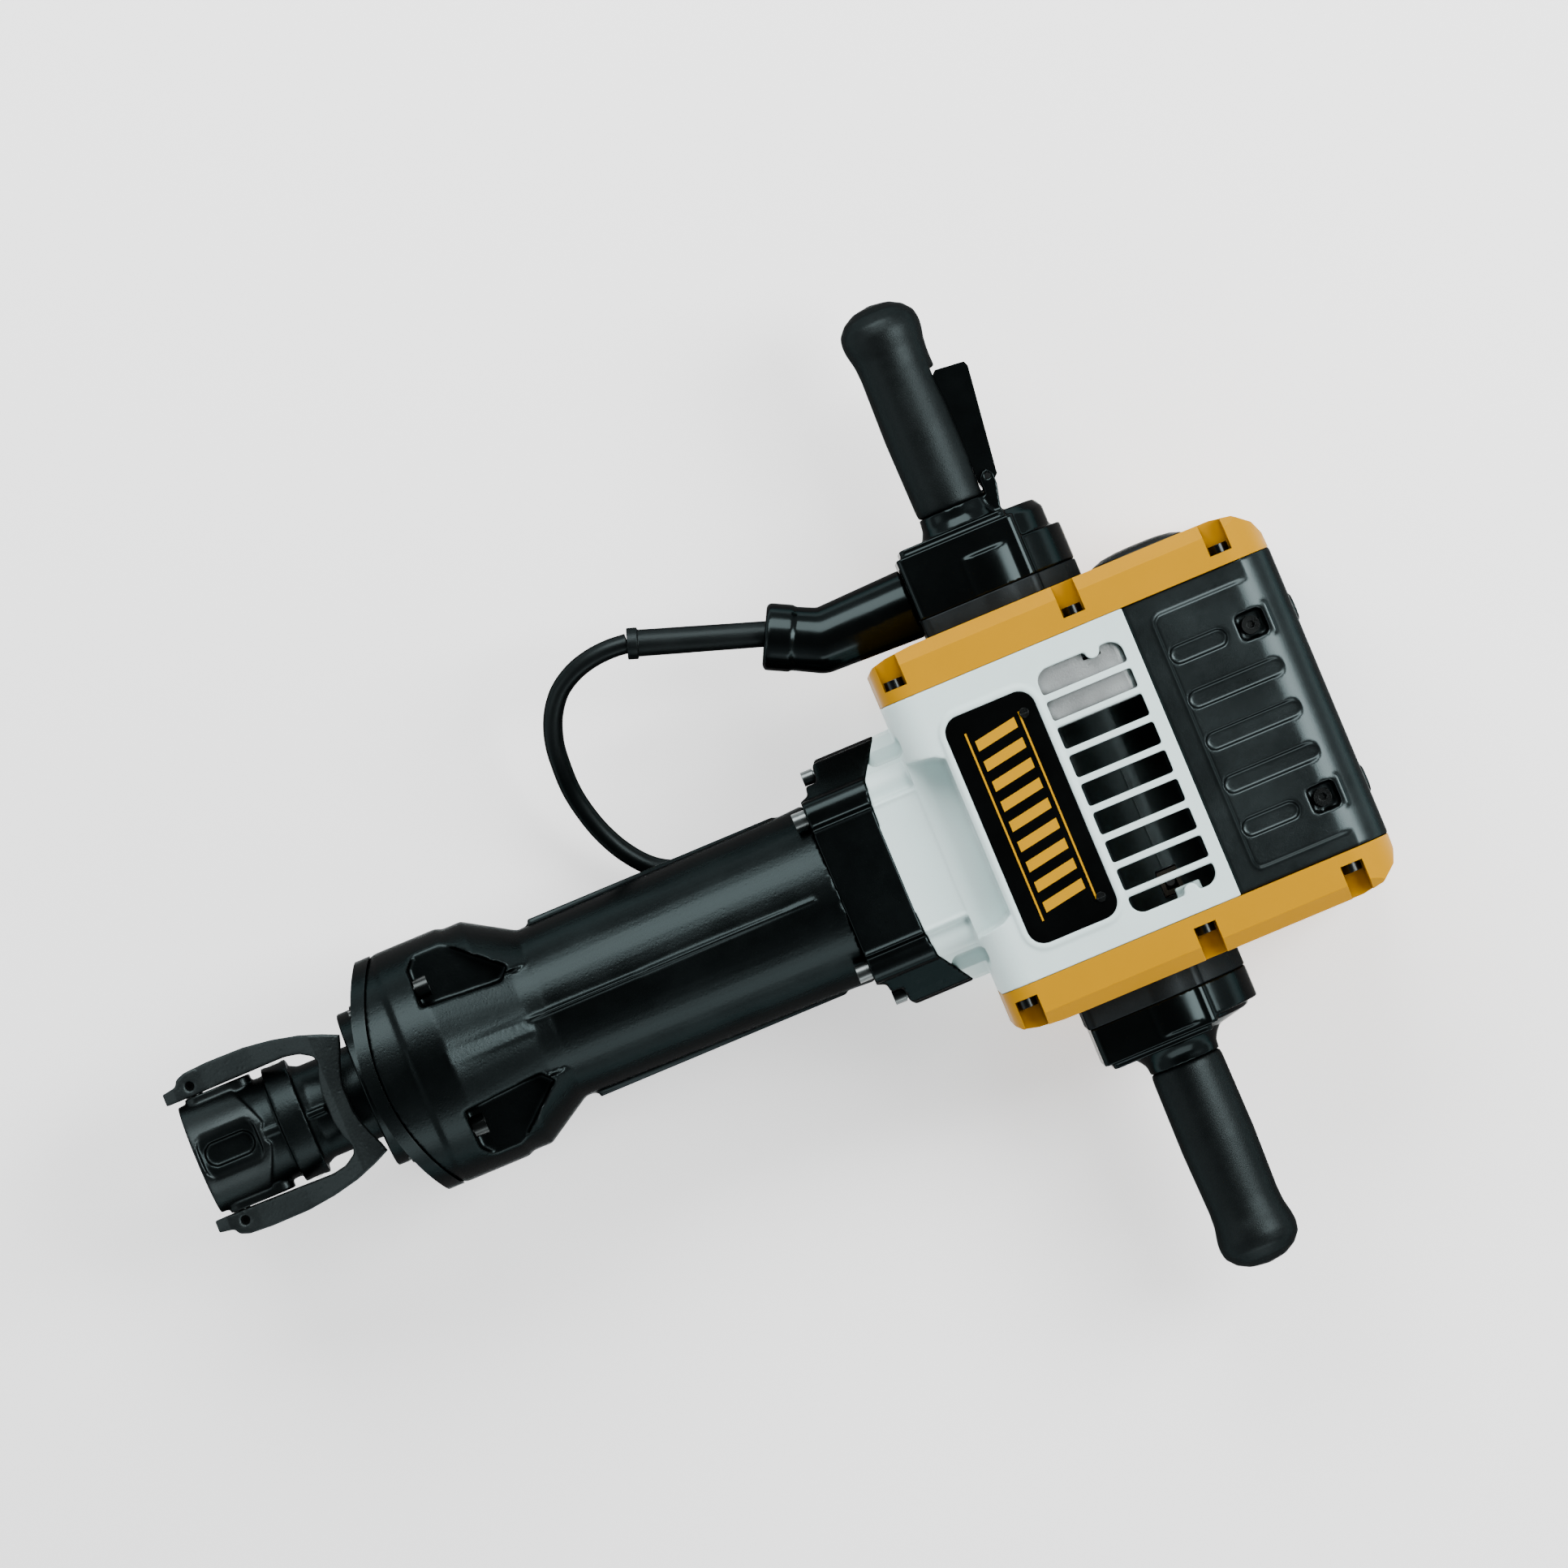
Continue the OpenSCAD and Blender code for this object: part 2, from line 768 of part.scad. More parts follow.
module vent_openings() {
    difference() {
        round_rect(vent_x[0], vent_x[1], vent_y[0], vent_y[1], 9);
        for (y = vent_bars) translate([vent_x[0] - 1, y - bar_t / 2])
            square([vent_x[1] - vent_x[0] + 2, bar_t]);
        for (y = [vent_y[0] + 1, vent_y[1] - 1]) translate([666, y]) circle(5);
    }
}

module screw_bosses(xs, y0, y1) {
    for (x = xs) four() rod_y(9, y0, y1, x, cover_screw_z);
}

module screw_taps(xs) {
    for (x = xs) four() rod_y(3, 70, 120, x, cover_screw_z);
}

module motor_block() {
    along_y(-half_width, half_width) block_outline(block_x, split_x + 25, 22, 22);
    along_x(neck_x - 3, 560) neck_section();
}

module motor_block_cuts() {
    // The block stands back behind the neck, between its corners
    both_z() along_z(62.3, 120) polygon([
        [520, -62], [546, -58], [face_x, -54], [face_x, 54], [546, 58], [520, 62]
    ]);
    // Ahead of the split with the gear case, and behind that with the rear cover
    along_z(-90, 90) case_plan();
    block([480, neck_x], [-90, 90], [-90, 90]);
    block([split_x, 760], [-120, 120], [-120, 120]);
    // Thumb hollows beside the neck
    four() along_z(24, 80) round_rect(506, 531, 66, 80, 6);
    // Inside
    along_y(-half_width - 1, half_width + 1)
        block_outline(face_x + wall, 760, 12, 12, wall);
    case_cavity(490, 575);
    both_y() block([block_x + wall, face_x + 10], [76, 101], [-66, 66]);
    rod_y(33, 20, 62, crank_x);
    rod_y(50.5, 61, 74, lay_x, lay_z);
}

module skid(x0, x1, x2) {
    // Runner along the back: full depth from x1, sloping up to the wall at x0
    both_y() along_y(70, 84) polygon([
        [x0, 3 - half_depth], [x2, 3 - half_depth], [x2, floor_z], [x1, floor_z]
    ]);
}

module motor_housing() {
    color("gainsboro") difference() {
        union() {
            difference() {
                motor_block();
                motor_block_cuts();
            }
            screw_bosses([541, 665], 80, half_width);
            skid(564, 576, split_x);
            // Raised rim of the nameplate
            along_z(half_depth - 2, half_depth + 1.5)
                round_rect(plate_x[0] - 3.5, plate_x[1] + 3.5, plate_y[0] - 3.5,
                           plate_y[1] + 3.5, 15);
        }
        along_z(half_depth - 0.6, half_depth + 2)
            round_rect(plate_x[0], plate_x[1], plate_y[0], plate_y[1], 11.5);
        both_z() along_z(half_depth - wall - 8, half_depth + 4) vent_openings();
        screw_taps([541, 665]);
        four() rod_x(3.6, 480, 545, bolt_in[0], bolt_in[1]);
        both_y() rod_x(3.6, 480, 526, bolt_out[0], bolt_out[1]);
        for (y = plate_screw_y) rod_z(1.5, 88, 100, plate_screw_x, y);
    }
}

// Rear cover: pressed finger grooves on its front and back
groove_long = [27, -2, -32];
groove_short = [58, -62];
lug_y = [58, -62];
rear_r = 32;

module rear_cover() {
    color([0.13, 0.13, 0.14]) difference() {
        union() {
            difference() {
                along_y(-half_width, half_width)
                    block_outline(split_x - 30, rear_x, 22, rear_r);
                block([600, split_x], [-120, 120], [-120, 120]);
                along_y(-half_width - 1, half_width + 1)
                    block_outline(600, rear_x - 5, 12, rear_r - 5, 5);
            }
            screw_bosses([767], 80, half_width);
            // Bosses of the screws behind, and sockets of the screws in front
            for (y = lug_y) both_z() {
                rod_x(9, rear_x - 8, tool_l, y, 45);
                along_z(70, half_depth - 2) round_rect(754, 781, y - 12, y + 12, 4);
            }
            both_y() along_y(70, 84) polygon([
                [split_x, 3 - half_depth], [770, 3 - half_depth], [756, floor_z],
                [split_x, floor_z]
            ]);
        }
        // The front stands back around its raised panel
        difference() {
            block([split_x - 1, 790], [-101, 101], [half_depth - 2, half_depth + 2]);
            along_z(80, 110) round_rect(710, 800, -88, 86, 5);
        }
        both_z() {
            for (y = groove_long) along_z(half_depth - 2.6, 120)
                round_rect(711, 777, y - 6, y + 6, 5.9);
            for (y = groove_short) along_z(half_depth - 2.6, 120)
                round_rect(711, 750, y - 6, y + 6, 5.9);
            for (y = lug_y) along_z(half_depth - 14, 120)
                round_rect(758, 777, y - 9, y + 9, 4);
            for (y = lug_y) rod_z(2.5, 60, 120, 767, y);
        }
        screw_taps([767]);
    }
}

module rear_cover_screws() {
    color("silver") for (y = lug_y) both_z() {
        difference() {
            rod_z(6, half_depth - 14, half_depth - 9, 767, y);
            rod_z(2.8, half_depth - 12, half_depth - 8, 767, y, $fn = 6);
        }
        rod_z(2.5, 66, half_depth - 14, 767, y);
    }
}

// ------------------------------------------------------------ side covers

module cover_shape(t) {
    // Outer shape of a side cover, t inside it
    intersection() {
        along_y(half_width, cover_y - t)
            block_outline(block_x + t, rear_x - t, 22 - t, rear_r - t, t);
        along_z(-120, 120) polygon([
            [block_x + t, 90], [block_x + t, 122], [block_x + 4 + t, 126 - t],
            [block_x + 14, 128.5 - t], [block_x + 32, cover_y - t],
            [rear_x - 30, cover_y - t], [rear_x - 16 - t, 127.5 - t],
            [rear_x - 5 - t, 119 - t / 2], [rear_x - 1 - t, 110], [rear_x - t, 90]
        ]);
        along_x(500, 820) polygon([
            [90, -half_depth + t], [half_width + 21, -half_depth + t],
            [cover_y - t, -half_depth + 10 + t], [cover_y - t, half_depth - 10 - t],
            [half_width + 21, half_depth - t], [90, half_depth - t]
        ]);
    }
}

module cover_left() {
    difference() {
        union() {
            difference() {
                cover_shape(0);
                translate([0, -1, 0]) cover_shape(wall);
            }
            intersection() {
                cover_shape(0);
                for (x = cover_screw_x) both_z()
                    block([x - 12, x + 12], [half_width, cover_y], [70, half_depth]);
            }
        }
        for (x = cover_screw_x) both_z() {
            block([x - 7.5, x + 7.5], [cover_seat_y, cover_y + 1],
                  [cover_screw_z - 7.5, half_depth + 1]);
            rod_y(3.05, 90, cover_y + 1, x, cover_screw_z);
        }
    }
}

module side_cover_left() {
    color("orange") difference() {
        union() {
            cover_left();
            ring_y(21, 16.02, 80, 126, lay_x, lay_z);
        }
        rod_y(4.2, 90, 140, 721);
    }
}

module side_cover_right() {
    color("orange") union() {
        mirror([0, 1, 0]) cover_left();
        ring_y(18, 13.02, -126, -88.5, motor_x, 0);
    }
}

module side_cover_screws() {
    color("silver") for (x = cover_screw_x) four() {
        difference() {
            rod_y(6.4, cover_seat_y, cover_seat_y + 6, x, cover_screw_z);
            rod_y(3, cover_seat_y + 3, cover_seat_y + 7, x, cover_screw_z, $fn = 6);
        }
        rod_y(3, 82, cover_seat_y, x, cover_screw_z);
    }
}

module grease_cap() {
    color([0.13, 0.13, 0.14]) difference() {
        turned_y(721, 0, [
            [0, 118], [4, 118], [4, cover_y], [32, cover_y], [31, 131.2], [24, 133.6],
            [14, 134.8], [0, 135.2]
        ]);
        rod_y(6, 134.2, 140, 721, 0, $fn = 6);
    }
}

module nameplate() {
    color([0.08, 0.08, 0.08]) difference() {
        along_z(half_depth - 0.6, half_depth + 0.9)
            round_rect(plate_x[0] + 0.3, plate_x[1] - 0.3, plate_y[0] + 0.3,
                       plate_y[1] - 0.3, 11.2);
        for (y = plate_screw_y) rod_z(1.5, 90, 100, plate_screw_x, y);
    }
}

module nameplate_screws() {
    color("silver") for (y = plate_screw_y) {
        difference() {
            rod_z(3.2, half_depth + 0.9, half_depth + 2.4, plate_screw_x, y);
            block([plate_screw_x - 2.5, plate_screw_x + 2.5], [y - 0.5, y + 0.5],
                  [half_depth + 1.6, half_depth + 3]);
        }
        rod_z(1.5, half_depth - 5, half_depth + 0.9, plate_screw_x, y);
    }
}

// ---------------------------------------------------------------- handles

box_half = 52;
turret_r = 55.5;

module base_plan(r, x0, x1, half, round) {
    // Plan of a handle base in (x, z): a box joined to a round turret
    translate([turret_x, 0]) circle(r);
    round_rect(x0, x1, -half, half, round);
}

module isolator_pads() {
    color([0.2, 0.2, 0.22]) {
        along_y(left_y[0], left_y[1]) base_plan(54.5, 573, 655, box_half + 1, 6);
        along_y(-right_y[1], -right_y[0]) base_plan(54.5, 571, 652, box_half + 1, 6);
    }
}

module switch_housing() {
    color([0.1, 0.1, 0.1]) difference() {
        union() {
            along_y(left_y[1], 184) round_rect(573, 654, -box_half, box_half, 4);
            along_y(184, left_y[2]) round_rect(577, 650, -box_half + 4, box_half - 4, 4);
            along_y(left_y[1], 168) translate([turret_x, 0]) circle(54.5);
            turned_y(turret_x, 0, [
                [0, 160], [48, 160], [48, 182], [44, 188], [24, left_y[2]], [0, left_y[2]]
            ]);
            turned_y(handle_x, 0, [
                [0, 180], [30, 180], [28, left_y[2]], [25, 195], [24, left_y[3]],
                [0, left_y[3]]
            ]);
            // Lugs that carry the paddle's pin
            both_z() along_z(11.6, 15) polygon([
                [640, 186], [649, 186], [654, 206], [654, 214], [651, 217.5],
                [647.5, 217], [644.1, 213], [644.1, 202.5], [640, 200]
            ]);
        }
        rod_z(2.02, -16, 16, paddle_x, paddle_y);
        block([590, 645], [left_y[1] - 1, 176], [-38, 38]);
        rod_y(17, 150, 210, handle_x);
        rod_x(15, 560, 600, 156.5, 0);
    }
}

module handle_block() {
    color([0.1, 0.1, 0.1]) difference() {
        union() {
            along_y(-170, -right_y[1]) round_rect(572, 651, -box_half, box_half, 4);
            along_y(-right_y[2], -170) round_rect(577, 646, -box_half + 5, box_half - 5, 4);
            along_y(-166, -right_y[1]) translate([turret_x, 0]) circle(54.5);
            turned_y(turret_x, 0, [
                [0, -right_y[2]], [24, -right_y[2]], [46, -169], [50, -164], [0, -160]
            ]);
            turned_y(handle_x, 0, [
                [0, -right_y[3]], [24, -right_y[3]], [24.6, -182], [27, -178],
                [34, -170], [0, -168]
            ]);
        }
        block([592, 640], [-160, -right_y[1] + 1], [-38, 38]);
        rod_y(17, -200, -150, handle_x);
    }
}

slot_x = 634;
slot_y = [206, 292];

module handle_cores() {
    color("dimgray") {
        difference() {
            rod_y(17, 176.2, grip_end - 12, handle_x);
            rod_y(11, 170, grip_end - 20, handle_x);
            block([slot_x, 660], slot_y, [-11.6, 11.6]);
        }
        difference() {
            rod_y(17, -grip_end_r + 12, -160.2, handle_x);
            rod_y(11, -grip_end_r + 20, -150, handle_x);
        }
    }
}

function grip_profile(y0, y1, s) = [
    [17, s * y0], [grip_r - 0.6, s * y0], [grip_r, s * (y0 + 4)],
    [grip_r + 0.6, s * (y0 + 55)], [grip_r - 0.6, s * (y1 - 44)], [grip_r, s * (y1 - 34)],
    [grip_r + 1.8, s * (y1 - 26)], [grip_r + 2.5, s * (y1 - 20)], [grip_r + 1.4, s * (y1 - 13)],
    [grip_r - 4, s * (y1 - 6.5)], [grip_r - 12, s * (y1 - 2)], [0, s * y1],
    [0, s * (y1 - 12)], [17, s * (y1 - 12)]
];

module grip_left() {
    color([0.16, 0.16, 0.17]) difference() {
        turned_y(handle_x, 0, grip_profile(left_y[3], grip_end, 1));
        block([slot_x, 660], slot_y, [-11.6, 11.6]);
    }
}

module grip_right() {
    color([0.16, 0.16, 0.17])
        turned_y(handle_x, 0, grip_profile(right_y[3], grip_end_r, -1));
}

module switch_paddle() {
    color([0.1, 0.1, 0.1]) difference() {
        along_z(-10.8, 10.8) polygon([
            [643, 212], [644, 207], [651, 207], [656.5, 212], [666, 284],
            [664.5, 287.5], [645, 289.5], [642.4, 287]
        ]);
        along_z(-8.6, 8.6) polygon([
            [640, 222], [655, 222], [662, 283], [640, 285]
        ]);
        rod_z(2.02, -20, 20, paddle_x, paddle_y);
    }
}

module paddle_pin() { color("silver") rod_z(2, -14.9, 14.9, paddle_x, paddle_y); }

module power_switch() {
    color([0.25, 0.25, 0.28]) {
        block([596, 640], [146, 170], [-20, 20]);
        both_z() block([600, 604], [170, 175], [6, 12]);
    }
}

// ------------------------------------------------------------------- cord

elbow_x = 510;
elbow_y = 155.5;
elbow_a = 27;
boot_a = 18.6;
boot_base = [483.3, 171.9];
boot_tip = [392, 203];

module cord_elbow() {
    color([0.1, 0.1, 0.1]) difference() {
        union() {
            turned_leg();
            translate([elbow_x, elbow_y, 0]) sphere(r = 21.4);
            translate([elbow_x, elbow_y, 0]) rotate([0, -90, -elbow_a])
                cylinder(r1 = 21.4, r2 = 20.6, h = 34);
            translate([elbow_x, elbow_y, 0]) rotate([0, -90, -elbow_a])
                translate([0, 0, 20]) {
                    cylinder(r = 22, h = 16);
                    translate([0, 0, 16]) cylinder(r1 = 22, r2 = 19.6, h = 2);
                }
        }
        rod_x(9, 500, 580, elbow_y);
        translate([boot_base[0], boot_base[1], 0]) rotate([0, -90, -boot_a])
            translate([0, 0, -22]) cylinder(r = 8.6, h = 50);
    }
}

module turned_leg() {
    translate([0, elbow_y, 0]) turned_x([
        [0, elbow_x], [21.4, elbow_x], [23.4, 572.95], [0, 572.95]
    ]);
}

module strain_relief() {
    l = norm([boot_base[0] - boot_tip[0], boot_base[1] - boot_tip[1]]);
    color([0.2, 0.2, 0.2]) translate([boot_base[0], boot_base[1], 0])
        rotate([0, -90, -boot_a]) difference() {
            union() {
                cylinder(r1 = 8.4, r2 = 8.9, h = l);
                translate([0, 0, l - 7]) cylinder(r = 10.4, h = 7);
            }
            translate([0, 0, 4]) cylinder(r = cord_r + 0.05, h = l);
        }
}

function sub(a, b) = [a[0] - b[0], a[1] - b[1], a[2] - b[2]];
function unit(v) = v / norm(v);

// Rings of a tube round each point of a route, square to it
function tube_points(route, r, n) = [
    for (i = [0 : len(route) - 1])
        let (
            a = route[max(i - 1, 0)],
            b = route[min(i + 1, len(route) - 1)],
            t = unit(sub(b, a)),
            u = unit(cross(t, [0, 0, 1])),
            w = cross(u, t)
        )
        for (k = [0 : n - 1]) route[i] + r * cos(360 * k / n) * u + r * sin(360 * k / n) * w
];

function tube_faces(m, n) = concat(
    [[for (k = [n - 1 : -1 : 0]) k]],
    [for (i = [0 : m - 2], k = [0 : n - 1])
        each [
            [i * n + k, i * n + (k + 1) % n, (i + 1) * n + k],
            [i * n + (k + 1) % n, (i + 1) * n + (k + 1) % n, (i + 1) * n + k]
        ]],
    [[for (k = [0 : n - 1]) (m - 1) * n + k]]
);

module cord_tube(route) {
    polyhedron(points = tube_points(route, cord_r, 10), faces = tube_faces(len(route), 10));
}

module cord_run() {
    color([0.1, 0.1, 0.1]) {
        cord_tube(cord_route);
        cord_tube(tail_route);
    }
}

module stadium(half, run) {
    square([run, 2 * half], center = true);
    for (x = [-run / 2, run / 2]) translate([x, 0]) circle(half);
}

// The plug lies in the middle of the hank, with its blades towards the nose
module plug_body() {
    color([0.1, 0.1, 0.1]) translate([0, hank_y, plug_z]) {
        turned_x([[0, plug_x], [9.5, plug_x], [9.5, plug_x - 4], [8.5, plug_x - 24], [0, plug_x - 24]]);
        turned_x([
            [0, plug_x - 20], [11, plug_x - 20], [14.6, plug_x - 28], [14.6, plug_x - 40],
            [13.4, plug_x - 44], [14.6, plug_x - 48], [14.6, plug_x - 53], [0, plug_x - 53]
        ]);
    }
}

module plug_blades() {
    color("silver") translate([plug_x - 53, hank_y, plug_z]) {
        both_y() block([-18, 0], [5.6, 7.1], [-8, -1.5]);
        rod_x(2.4, -21, 0, 0, 5.5);
    }
}

module cord_hank() {
    color([0.1, 0.1, 0.1]) translate([hank_x, hank_y, floor_z + hank_lift])
        linear_extrude(hank_h) difference() {
            stadium(hank_out, hank_run);
            stadium(hank_in, hank_run);
        }
}

placed() nose_barrel();
placed() hex_bushing();
placed() nose_flange();
placed() retainer_bail();
placed() bail_pivot_pins();
placed() bail_roll_pins();
placed() bail_detents();
placed() front_cap();
placed() barrel_housing();
placed() front_cap_bolts();
placed() anvil_sleeve();
placed() anvil();
placed() damper_ring();
placed() cylinder_liner();
placed() ram();
placed() ram_seal();
placed() piston();
placed() piston_seal();
placed() wrist_pin();
placed() connecting_rod();
placed() big_end_bearing();
placed() gear_case();
placed() gear_case_bolts();
placed() crankshaft();
placed() crank_gear();
placed() bearing_carrier();
placed() lay_shaft();
placed() ball_bearings();
placed() gear_box();
placed() rotor();
placed() motor_pinion();
placed() cooling_fan();
placed() stator();
placed() motor_can();
placed() brush_holders();
placed() carbon_brushes();
placed() motor_housing();
placed() rear_cover();
placed() rear_cover_screws();
placed() side_cover_left();
placed() side_cover_right();
placed() side_cover_screws();
placed() grease_cap();
placed() nameplate();
placed() nameplate_screws();
placed() isolator_pads();
placed() switch_housing();
placed() handle_block();
placed() handle_cores();
placed() grip_left();
placed() grip_right();
placed() switch_paddle();
placed() paddle_pin();
placed() power_switch();
placed() cord_elbow();
placed() strain_relief();
placed() cord_run();
placed() cord_hank();
placed() plug_body();
placed() plug_blades();
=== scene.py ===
"""Demolition hammer: finishes, rounded edges, supply cord and studio around its fixed frame."""

import math

import bpy
from bpy.props import FloatProperty, FloatVectorProperty, IntProperty, PointerProperty
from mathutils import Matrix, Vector


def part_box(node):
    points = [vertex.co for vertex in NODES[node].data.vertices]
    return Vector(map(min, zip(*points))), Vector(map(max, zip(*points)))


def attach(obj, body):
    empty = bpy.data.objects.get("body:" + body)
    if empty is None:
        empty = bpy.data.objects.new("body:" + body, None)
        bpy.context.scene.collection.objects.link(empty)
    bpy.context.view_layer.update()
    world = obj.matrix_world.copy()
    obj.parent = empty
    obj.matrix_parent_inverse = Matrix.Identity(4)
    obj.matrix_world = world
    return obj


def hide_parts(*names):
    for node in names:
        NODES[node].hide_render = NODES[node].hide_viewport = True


bl_info = {
    "name": "Demolition hammer",
    "version": (1, 0, 0),
    "blender": (4, 5, 0),
    "location": "View3D > Sidebar > Hammer",
    "description": "Finishes, cord and studio for a demolition hammer",
    "category": "Object",
}

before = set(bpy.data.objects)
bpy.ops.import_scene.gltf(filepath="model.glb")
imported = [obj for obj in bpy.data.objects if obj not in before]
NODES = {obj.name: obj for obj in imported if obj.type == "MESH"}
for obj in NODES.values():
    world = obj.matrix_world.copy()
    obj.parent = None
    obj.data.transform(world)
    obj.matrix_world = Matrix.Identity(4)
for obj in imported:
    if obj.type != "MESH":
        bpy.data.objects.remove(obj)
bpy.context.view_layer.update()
MM = 0.001

# The tool's own frame: along the axis from the nose, towards the switch
# handle, and up from the axis, in millimetres
MID_X = 400.0
MID_Y = 7.5
AXIS_H = 102.0


def place(point):
    """A point of the tool's own frame, in metres in the row's frame."""
    x, y, z = point
    return Vector(((x - MID_X) * MM, (y - MID_Y) * MM, (z + AXIS_H) * MM))


# ---------------------------------------------------------------- properties


def colour_prop(name, description, value):
    return FloatVectorProperty(
        name=name, description=description, default=value, size=3, min=0.0, max=1.0,
        subtype="COLOR",
    )


class HammerColours(bpy.types.PropertyGroup):
    """Colours of the main finishes."""

    cover: colour_prop("Side covers", "Paint of the side covers", (0.405, 0.192, 0.0))
    housing: colour_prop("Motor housing", "Paint of the motor housing", (0.6, 0.75, 0.74))
    casting: colour_prop("Black castings", "Coat of the barrel and case", (0.0132, 0.0175, 0.018))
    forging: colour_prop("Retainer", "Forged steel of the retainer", (0.036, 0.045, 0.046))
    plastic: colour_prop("Black plastic", "Rear cover, cap and plug", (0.028, 0.036, 0.037))
    gloss: colour_prop("Glossy black", "Handle bases", (0.014, 0.0185, 0.019))
    rubber: colour_prop("Rubber", "Grips and cord", (0.0155, 0.0195, 0.02))
    steel: colour_prop("Steel", "Machined steel", (0.5, 0.5, 0.49))
    floor: colour_prop("Floor", "Studio floor", (0.93, 0.93, 0.93))


class HammerSizes(bpy.types.PropertyGroup):
    """Sizes that a user may change."""

    cord_d: FloatProperty(
        name="Cord", description="Diameter of the supply cord", default=0.013,
        min=0.01, max=0.016, unit="LENGTH",
    )
    edge: FloatProperty(
        name="Edge radius", description="Rounding of the castings' edges", default=0.0013,
        min=0.0, max=0.003, unit="LENGTH",
    )
    edge_steps: IntProperty(
        name="Edge steps", description="Segments across a rounded edge", default=2,
        min=1, max=4,
    )
    view_width: FloatProperty(
        name="View width", description="Width seen by the camera at the axis", default=1.02,
        min=0.5, max=2.0, unit="LENGTH",
    )
    view_height: FloatProperty(
        name="Camera height", description="Camera height above the axis", default=7.0,
        min=1.0, max=12.0, unit="LENGTH",
    )


# ------------------------------------------------------------- node groups


def new_group(name, inputs, outputs):
    """A shader node group with its inputs (name, type, default) and outputs (name, type)."""
    group = bpy.data.node_groups.new(name, "ShaderNodeTree")
    for label, kind, value in inputs:
        socket = group.interface.new_socket(label, in_out="INPUT", socket_type=kind)
        socket.default_value = value
    for label, kind in outputs:
        group.interface.new_socket(label, in_out="OUTPUT", socket_type=kind)
    source = group.nodes.new("NodeGroupInput")
    target = group.nodes.new("NodeGroupOutput")
    return group, source, target


FLOAT = "NodeSocketFloat"
# Rays that each mask takes at a point
MASK_SAMPLES = 4
# Edge wear: how far the rounded normal has left the true one where the wear
# starts and where it is full, and the span of noise that breaks it into patches
WEAR_BEND = (0.02, 0.16)
WEAR_PATCHES = (0.42, 0.62)
# Grain: pits to each grain, how wide a pit is, and the scale of the slow mottle
PITS_PER_GRAIN = 0.45
PIT_SPAN = (0.0, 0.35)
MOTTLE_SCALE = 26.0
# Dust: slopes from bare to fully dusty, the spans of noise for its patches and
# its specks, the scale of the specks, and how much of it the patches hold
DUST_SLOPE = (0.2, 1.0)
DUST_PATCHES = (0.4, 0.75)
DUST_SPECKS = (0.6, 0.75)
SPECK_SCALE = 900.0
PATCH_SHARE = 0.6
# Painted shade: how closed a corner is where the painted shade starts and where
# it is full, and the scale and span of the noise that breaks it into patches
SHADE_CORNER = (0.12, 0.75)
SHADE_SCALE = 60.0
SHADE_PATCHES = (0.2, 0.6)


def math_node(tree, operation, a, b=None, clamp=False):
    """A Math node; a and b are sockets or numbers. Returns its output."""
    node = tree.nodes.new("ShaderNodeMath")
    node.operation = operation
    node.use_clamp = clamp
    for socket, value in zip(node.inputs, (a, b)):
        if isinstance(value, bpy.types.NodeSocket):
            tree.links.new(value, socket)
        elif value is not None:
            socket.default_value = value
    return node.outputs[0]


def noise_node(tree, coords, scale, detail=3.0, roughness=0.5):
    """A Noise texture over coords; scale is a socket or a number."""
    node = tree.nodes.new("ShaderNodeTexNoise")
    node.inputs["Detail"].default_value = detail
    node.inputs["Roughness"].default_value = roughness
    tree.links.new(coords, node.inputs["Vector"])
    if isinstance(scale, bpy.types.NodeSocket):
        tree.links.new(scale, node.inputs["Scale"])
    else:
        node.inputs["Scale"].default_value = scale
    return node.outputs["Fac"]


def ramp_between(tree, value, low, high):
    """value mapped from low..high to 0..1, smooth and clamped."""
    node = tree.nodes.new("ShaderNodeMapRange")
    node.interpolation_type = "SMOOTHSTEP"
    for name, number in (("From Min", low), ("From Max", high)):
        if isinstance(number, bpy.types.NodeSocket):
            tree.links.new(number, node.inputs[name])
        else:
            node.inputs[name].default_value = number
    tree.links.new(value, node.inputs["Value"])
    return node.outputs["Result"]


def map_range(tree, value, from_span, to_span):
    """value mapped in a straight line from one span (low, high) to another."""
    node = tree.nodes.new("ShaderNodeMapRange")
    for name, span in (("From", from_span), ("To", to_span)):
        node.inputs[name + " Min"].default_value = span[0]
        node.inputs[name + " Max"].default_value = span[1]
    tree.links.new(value, node.inputs["Value"])
    return node.outputs["Result"]


def build_edge_wear():
    """Mask of the rubbed edges: where a rounded normal leaves the true one."""
    group, source, target = new_group(
        "edge_wear",
        [("Radius", FLOAT, 0.0015), ("Scale", FLOAT, 90.0), ("Amount", FLOAT, 0.5)],
        [("Mask", FLOAT)],
    )
    bevel = group.nodes.new("ShaderNodeBevel")
    bevel.samples = MASK_SAMPLES
    group.links.new(source.outputs["Radius"], bevel.inputs["Radius"])
    geometry = group.nodes.new("ShaderNodeNewGeometry")
    dot = group.nodes.new("ShaderNodeVectorMath")
    dot.operation = "DOT_PRODUCT"
    group.links.new(bevel.outputs["Normal"], dot.inputs[0])
    group.links.new(geometry.outputs["Normal"], dot.inputs[1])
    edge = math_node(group, "SUBTRACT", 1.0, dot.outputs["Value"])
    coords = group.nodes.new("ShaderNodeTexCoord").outputs["Object"]
    patches = noise_node(group, coords, source.outputs["Scale"], 5.0, 0.65)
    patches = ramp_between(group, patches, *WEAR_PATCHES)
    edge = ramp_between(group, edge, *WEAR_BEND)
    mask = math_node(group, "MULTIPLY", edge, patches)
    mask = math_node(group, "MULTIPLY", mask, source.outputs["Amount"], clamp=True)
    group.links.new(mask, target.inputs["Mask"])
    return group


